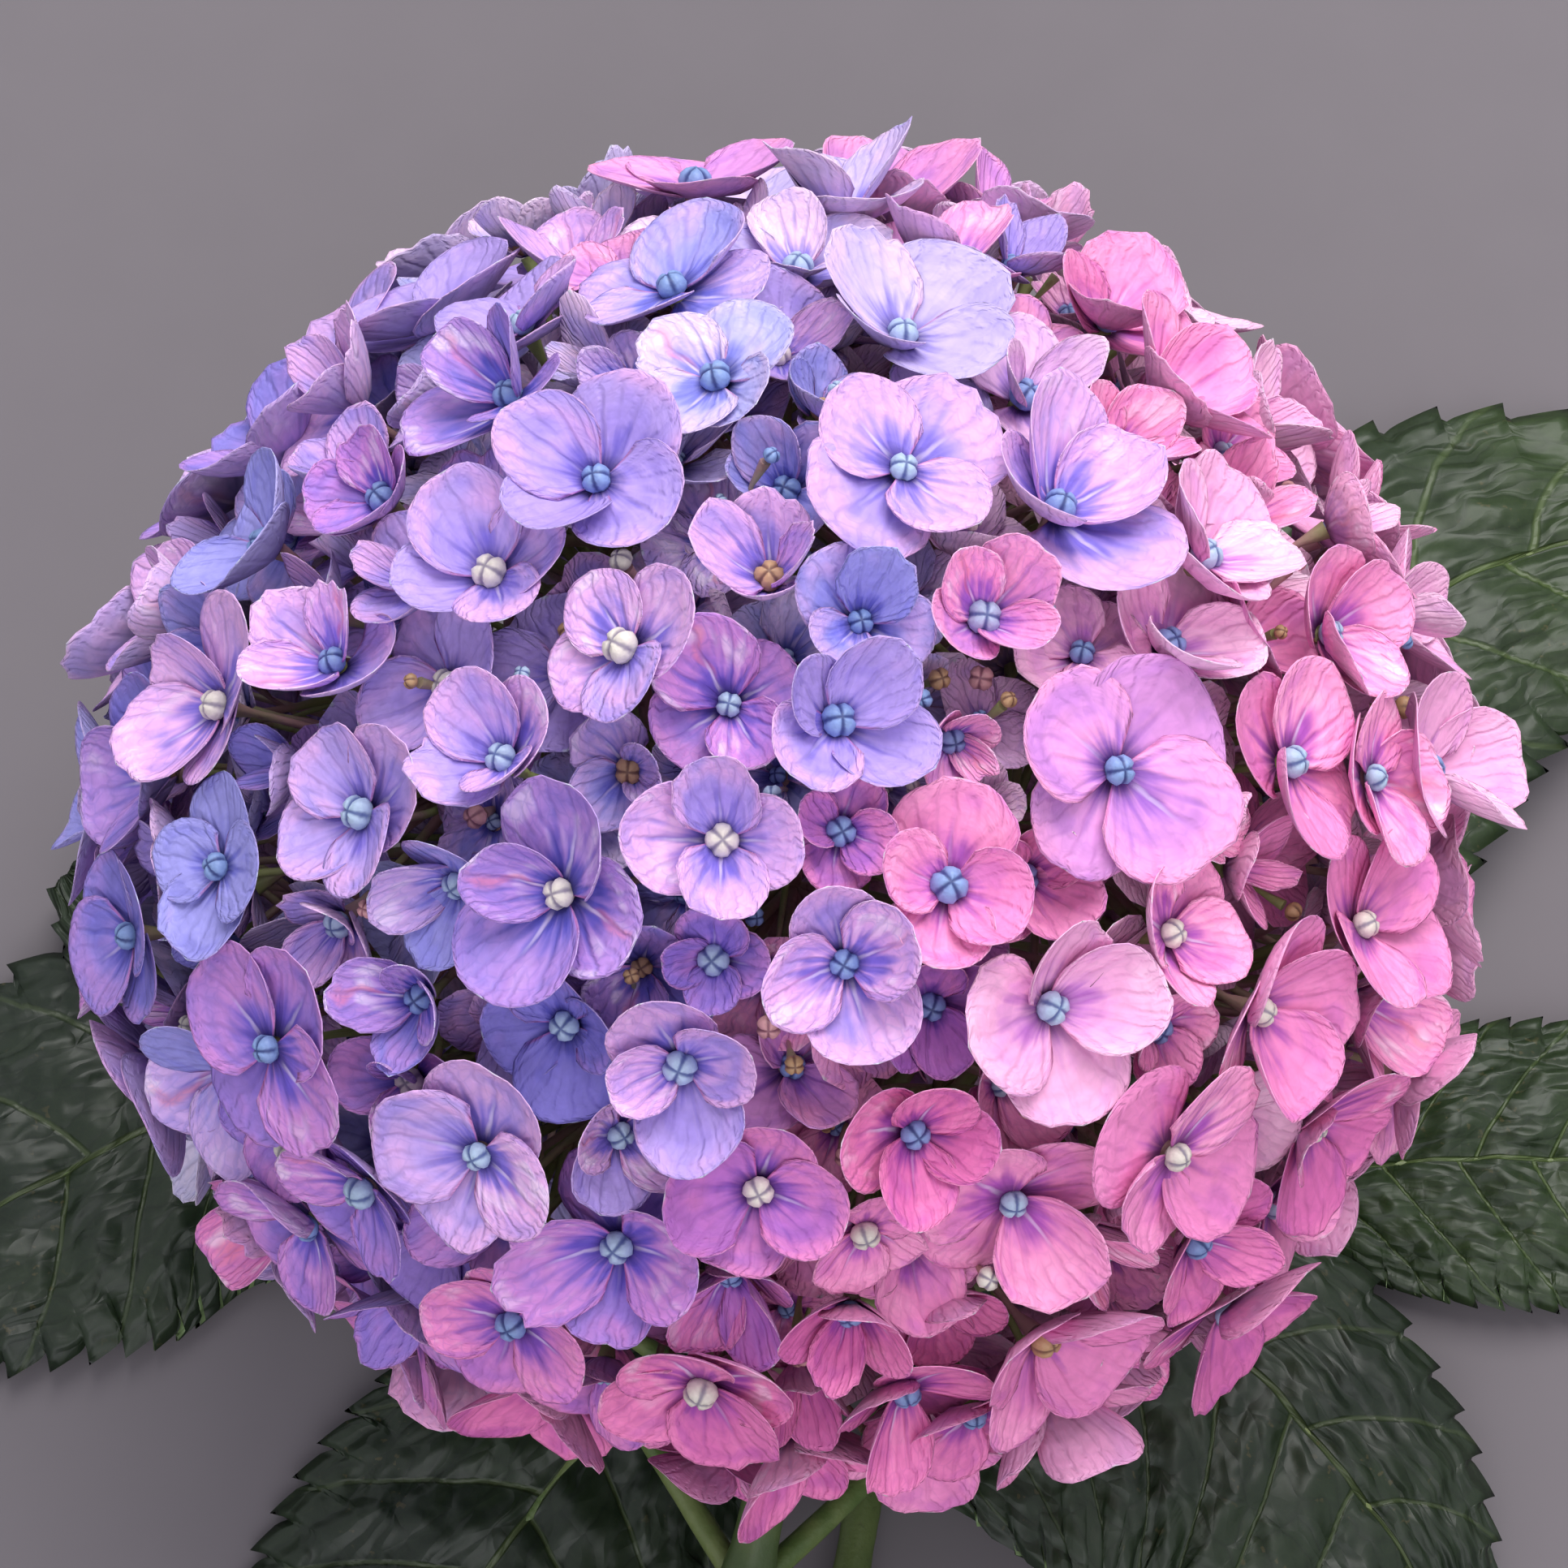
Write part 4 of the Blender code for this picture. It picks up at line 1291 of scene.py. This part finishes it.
def stem_finish():
    finish = Finish("stem", roughness=0.45, specular=0.4)
    patchy = finish.cloud(90, 3.0)
    colour = finish.mix(patchy.step(0.35, 0.7), screen(58, 76, 38), screen(84, 98, 54))
    corky = finish.cells(330).step(0.5, 0.62) * finish.cloud(120).step(0.45, 0.6)
    colour = finish.mix(corky * 0.7, colour, screen(142, 122, 92))
    colour = finish.mix(finish.cloud(1400).step(0.62, 0.7) * 0.4, colour, screen(60, 66, 38))
    pith = finish.attribute("pith")
    colour = finish.mix(pith.step(0.2, 0.4), colour, screen(150, 168, 96))
    colour = finish.mix(pith.step(0.55, 0.75), colour, screen(222, 222, 190))
    finish.feed("Base Color", colour)
    finish.feed("Roughness", 0.36 + patchy * 0.22)
    finish.relief(corky * 0.8 + finish.cloud(1100, 3.0) * 0.5, 0.2 * MM)
    return finish.material


def stem(name, points, ends, nodes, finish, bud=0.0):
    line = even_line(smooth_line(points), STEM_RINGS)
    radii = stem_radii(line, ends, nodes, bud)
    piece = tube_object(name, tube_rings(line, radii, STEM_SIDES, stem_relief(nodes)))
    piece.data.materials.append(finish)
    return piece


green = stem_finish()
stems = {
    "main_stem": stem("main_stem_bark", MAIN_STEM_ROUTE, MAIN_STEM_RADII, MAIN_STEM_NODES, green),
    "side_stem": stem("side_stem_bark", SIDE_STEM_ROUTE, SIDE_STEM_RADII, SIDE_STEM_NODES, green, SIDE_BUD),
}
for node, piece in stems.items():
    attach(piece, "root")
    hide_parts(node)
    print(piece.name, len(piece.data.polygons), "faces")

# %% [markdown]
# ## Leaves
#
# A leaf is broad and toothed, with a sunken midrib and eight or so pairs of side veins that sweep towards
# the tip. Between the veins the blade swells up, like a quilt. The blade is a grid along the midrib's line:
# the outline, the teeth and the quilting are sums on how far along and how far across a point is. The
# finish uses the same sums, so its pale veins lie in the grooves.

# %% The leaves' sizes and routes
# Routes and the widths of the left and right halves are in millimetres. The roll down to the right and the
# fold that lifts both halves are in degrees.
# The tone dark is painted shade, for a leaf that lies in shade.
LEAVES = {
    "leaf_left": {
        "node": LOWER_NODE, "halves": (31, 36), "roll": 0, "fold": 4, "tone": "dark",
        "petiole": ((-23, -64, 15),),
        "midrib": ((-42, -36, 9), (-76, -13, 8), (-112, -27, 7), (-151, -50, 2.5)),
    },
    "leaf_right": {
        "node": SIDE_NODE, "halves": (23, 23), "roll": 0, "fold": 5, "tone": "mid",
        "petiole": ((46, -39, 4.6),),
        "midrib": ((74, -28, 4.6), (112, -24, 7), (166, -27, 2.5)),
    },
    "leaf_lower_left": {
        "node": SIDE_NODE, "halves": (32, 32), "roll": 0, "fold": 5, "tone": "dark",
        "petiole": ((6, -42, 5),),
        "midrib": ((-9, -44, 5), (-43, -87, 6.5), (-80, -142, 2.5)),
    },
    "leaf_lower_right": {
        "node": UPPER_NODE, "halves": (27, 44), "roll": -8, "fold": 4, "tone": "dark",
        "petiole": ((6, -68.5, 30),),
        "midrib": ((13, -62, 27), (60, -55, 22), (84, -75, 17), (104, -101, 3)),
    },
    "leaf_upper_left": {
        "node": UPPER_NODE, "halves": (21, 21), "roll": 0, "fold": 5, "tone": "dark",
        "petiole": ((-19, -58, 25),),
        "midrib": ((-38, -42, 14), (-76, -5, 16), (-113, 23, 7)),
    },
    "leaf_upper_right": {
        "node": LOWER_NODE, "halves": (36, 34), "roll": -3, "fold": 5, "tone": "mid",
        "petiole": ((18, -70, 13.5), (34, -44, 11)),
        "midrib": ((46, -20, 10), (86, 49, 13), (117, 75, 9.5), (163, 86, 2.5)),
    },
}
LEAF_TEETH, ROWS_PER_TOOTH, TOOTH_PEAK = 20, 7, 5 / 7
LEAF_COLUMNS, BLADE_EASING = 37, 40
LEAF_THICKNESS = 0.55 * MM
TOOTH_DEPTH, TOOTH_LEAN = 0.045, 0.4
SIDE_VEINS, VEIN_SWEEP, VEIN_BOW = 8, 0.2, 1.25
QUILTING, PUCKER = 1.5 * MM, 0.6 * MM
LEAST_REACH, MARGIN_WAVE = 0.7 * MM, 1.1 * MM
MIDRIB_SINK, MIDRIB_WIDTH = 0.7 * MM, 1.3 * MM
PETIOLE_RADIUS, RIB_TIP_RADIUS = 2.1 * MM, 0.35 * MM
RIB_SHARE, RIB_RINGS, RIB_SIDES = 0.93, 90, 12  # how much of the midrib shows below, and its rings and sides


# %% The blade
def blade_width(place):
    """Half the blade's width as a share of its widest, from base to tip: broad, with a short point."""
    rise, fall = 0.6, 0.68
    widest = rise / (rise + fall)
    peak = widest**rise * (1 - widest) ** fall
    return max(place, 0.0) ** rise * max(1 - place, 0.0) ** fall / peak


def tooth(place):
    """How far the margin stands out there, from -1 between two teeth to 1 at a tip."""
    phase = place * LEAF_TEETH % 1
    climb = phase / TOOTH_PEAK if phase < TOOTH_PEAK else (1 - phase) / (1 - TOOTH_PEAK)
    return 2 * climb**0.8 - 1


def quilt(place, t, seed):
    """How far the blade swells up between its veins."""
    bow = abs(t) ** VEIN_BOW
    count = SIDE_VEINS * (place - VEIN_SWEEP * bow * (1 - 0.3 * place)) + 0.25 * (t > 0)
    gap = abs(count - round(count))
    swelling = math.sin(math.pi * gap) ** 0.7
    wobble = noise.noise(Vector((place * 14, t * 5, seed)))
    folds = abs(math.sin(math.pi * (abs(t) * 6.5 + wobble * 0.8)))
    margin = 1 - abs(t) ** 6
    return (QUILTING * swelling * (0.8 + 0.4 * wobble) + PUCKER * folds * swelling) * margin


def eased(ways, reach):
    """Directions averaged with their neighbours, so that a bent blade's rows fan out and never cross."""
    last = len(ways) - 1
    near = [[ways[limited(k, (0, last))] for k in range(i - reach, i + reach + 1)] for i in range(last + 1)]
    return [sum(group, Vector()).normalized() for group in near]


def blade_surface(line, halves, roll, fold, seed):
    """The middle surface of a blade, in rows from its base to its tip."""
    rows = len(line)
    step = (line[1] - line[0]).length * ROWS_PER_TOOTH
    across = np.linspace(1, -1, LEAF_COLUMNS)
    surface = np.empty((rows, LEAF_COLUMNS, 3))
    for i, (centre, along) in enumerate(zip(line, eased(directions(line), BLADE_EASING))):
        place = i / (rows - 1)
        side = Matrix.Rotation(math.radians(roll), 3, along) @ along.cross(UP).normalized()
        normal = side.cross(along).normalized()
        share = blade_width(0.02 + 0.97 * place)
        for j, t in enumerate(across):
            widest = halves[int(t > 0)] * MM
            edge = abs(t) ** 5
            reach = max(share * widest, LEAST_REACH) * abs(t) * (1 + TOOTH_DEPTH * tooth(place) * edge)
            rise = reach * math.sin(math.radians(fold)) - reach**2 / (widest * 5)
            rise += quilt(place, t, seed) * min(1, share * 2)
            rise += MARGIN_WAVE * math.sin(place * 11 + seed + (2 if t > 0 else 0)) * abs(t) ** 3 * share
            rise -= MIDRIB_SINK * bump(reach, MIDRIB_WIDTH)
            lean = along * step * TOOTH_LEAN * edge * max(tooth(place), 0) * (0 < i < rows - 1)
            surface[i, j] = centre + side * math.copysign(reach, t) + normal * rise + lean
    return surface


# %% The petiole and the midrib
def rib_tube(name, line, base):
    """The leaf's stalk, which goes on under the blade as its midrib and gets thin towards the tip."""
    points = even_line(line[: base + int(RIB_SHARE * (len(line) - base))], RIB_RINGS)
    bare = base / len(line)
    middle, radii = [], []
    for i, point in enumerate(points):
        place = i / (RIB_RINGS - 1)
        radius = PETIOLE_RADIUS + (RIB_TIP_RADIUS - PETIOLE_RADIUS) * place**0.8
        under = limited((place - bare) * 12, (0, 1))
        middle.append(point - UP * under * (radius * 0.75 + 0.25 * MM))
        radii.append(radius)

    def relief(point, turn):
        return 0.07 * MM * noise.noise(point * 300)

    return tube_object(name, tube_rings(middle, radii, RIB_SIDES, relief))


# %% The leaves' finish
# Each tone is the blade's dark part, its light part and its veins. The dark tone is painted shade: a darker
# copy of the mid one for the leaves that lie in shade.
LEAF_TONES = {
    "dark": (screen(20, 32, 19), screen(33, 46, 27), screen(62, 74, 42)),
    "mid": (screen(29, 44, 21), screen(43, 60, 28), screen(76, 92, 50)),
}
LEAF_UNDERSIDE = screen(112, 134, 88)


def leaf_finish(tone):
    dark, light, vein = LEAF_TONES[tone]
    finish = Finish("leaf_" + tone, roughness=0.4, specular=0.4)
    across, along = finish.across_and_along("foot_to_tip")
    t = (0.5 - across) * 2
    bow = t.size() ** VEIN_BOW
    wander = finish.cloud(90) - 0.5
    count = (along - bow * (1 - along * 0.3) * VEIN_SWEEP) * SIDE_VEINS + t.step(-0.02, 0.02) * 0.25
    side_veins = (count + wander * 0.14).from_whole().step(0.05, 0.01) * (1 - t.size() * 0.6)
    midrib = t.size().step(0.022, 0.008)
    rungs = finish.cells(1.0, finish.vector(count * 1.5 + wander, t * 8 + wander * 2))
    swell = finish.cloud(1.0, 0.0, finish.vector(count * 2.2 + wander, t * 7.5 + wander * 2))
    fine_net = finish.cells(620).step(0.12, 0.0)

    patchy = finish.cloud(45, 3.0)
    colour = finish.mix(patchy.step(0.3, 0.7), dark, light)
    # Painted shade: the grooves between the quilted pillows are darkened.
    colour = finish.mix(rungs.step(0.14, 0.0) * 0.3, colour, darker(dark, 0.45))
    colour = finish.mix(fine_net * 0.05, colour, vein)
    colour = finish.mix((side_veins * 0.75).most(midrib), colour, vein)
    colour = finish.mix(finish.attribute("under") * 0.75, colour, LEAF_UNDERSIDE)
    spots = finish.cloud(700).step(0.64, 0.7) * finish.cloud(60).step(0.5, 0.6)
    colour = finish.mix(spots * 0.3, colour, screen(96, 84, 52))
    finish.feed("Base Color", colour)
    finish.feed("Roughness", 0.32 + finish.cloud(160) * 0.2)
    finish.relief(rungs.step(-0.15, 0.6) * 0.7 + swell * 3.2 - side_veins * 0.4 - midrib * 0.6, 0.55 * MM)
    return finish.material


def rib_finish():
    finish = Finish("petiole", roughness=0.42, specular=0.4)
    colour = finish.mix(finish.cloud(120).step(0.35, 0.65), screen(78, 98, 50), screen(108, 120, 72))
    finish.feed("Base Color", colour)
    finish.relief(finish.cloud(900), 0.15 * MM)
    return finish.material


# %% Make the leaves
leaf_tones = {tone: leaf_finish(tone) for tone in LEAF_TONES}
petiole_tone = rib_finish()
for index, (name, leaf) in enumerate(LEAVES.items()):
    line = smooth_line([leaf["node"], *route(*leaf["petiole"]), *route(*leaf["midrib"])])
    base = CURVE_STEPS * (1 + len(leaf["petiole"]))
    blade_line = even_line(line[base:], LEAF_TEETH * ROWS_PER_TOOTH + 1)
    surface = above_floor(blade_surface(blade_line, leaf["halves"], leaf["roll"], leaf["fold"], index))
    blade = thin_shells(name + "_blade", [surface], LEAF_THICKNESS, np.array([0.5]))
    blade.data.materials.append(leaf_tones[leaf["tone"]])
    rib = rib_tube(name + "_rib", line, base)
    rib.data.materials.append(petiole_tone)
    for piece in (blade, rib):
        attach(piece, "root")
        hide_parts(name)
    print(name, 2 * len(blade.data.polygons), "triangles")

# %% [markdown]
# ## Table, light and camera
#
# The shoot lies on a plain pale table. One large soft light over its far side gives the bright top and the
# deep colour low down, and a faint light from all round fills the shadows. The camera looks down steeply
# from the near side, as in the photograph.

# %% The table
TABLE_SIZE = 3.0
TABLE_TONE = screen(113, 108, 112)


def table():
    half = TABLE_SIZE / 2
    corners = [(-half, -half, 0), (half, -half, 0), (half, half, 0), (-half, half, 0)]
    obj = mesh_object("table", corners, [], [(0, 1, 2, 3)])
    finish = Finish("table", roughness=0.9, specular=0.2)
    finish.feed("Base Color", finish.mix(finish.cloud(60, 4.0), darker(TABLE_TONE, 0.94), TABLE_TONE))
    obj.data.materials.append(finish.material)
    return obj


table()


# %% The lights
def soft_light(name, place, size, power, colour):
    """A square lamp that looks at the head."""
    data = bpy.data.lights.new(name, "AREA")
    data.shape = "SQUARE"
    data.size = size
    data.energy = power
    data.color = colour
    obj = link(name, data)
    obj.location = place
    obj.rotation_euler = (obj.location - BLOOM_CENTRE).to_track_quat("Z", "Y").to_euler()


WORLD_COLOUR, WORLD_STRENGTH = (0.92, 0.93, 1.0, 1.0), 0.73

soft_light("key", Vector((0.2, 0.68, 1.12)), 1.0, 17.8, (1.0, 0.985, 0.97))
soft_light("fill", Vector((0.1, -0.75, 0.8)), 1.0, 4, (0.97, 0.96, 1.0))
world = bpy.data.worlds.new("studio")
world.use_nodes = True
background = world.node_tree.nodes["Background"]
background.inputs["Color"].default_value = WORLD_COLOUR
background.inputs["Strength"].default_value = WORLD_STRENGTH
bpy.context.scene.world = world
bpy.context.scene.view_settings.view_transform = "Standard"

# %% The camera
CAMERA_RISE = math.radians(70)
CAMERA_DISTANCE = 0.62
CAMERA_HALF_VIEW = 0.1085
AIM = BLOOM_CENTRE + Vector((0.9, 4.9, 1.8)) * MM

camera_data = bpy.data.cameras.new("camera")
camera_data.angle = 2 * math.atan(CAMERA_HALF_VIEW / CAMERA_DISTANCE)
camera = link("camera", camera_data)
backwards = Vector((0, -math.cos(CAMERA_RISE), math.sin(CAMERA_RISE)))
camera.location = AIM + backwards * CAMERA_DISTANCE
camera.rotation_euler = backwards.to_track_quat("Z", "Y").to_euler()
bpy.context.scene.camera = camera
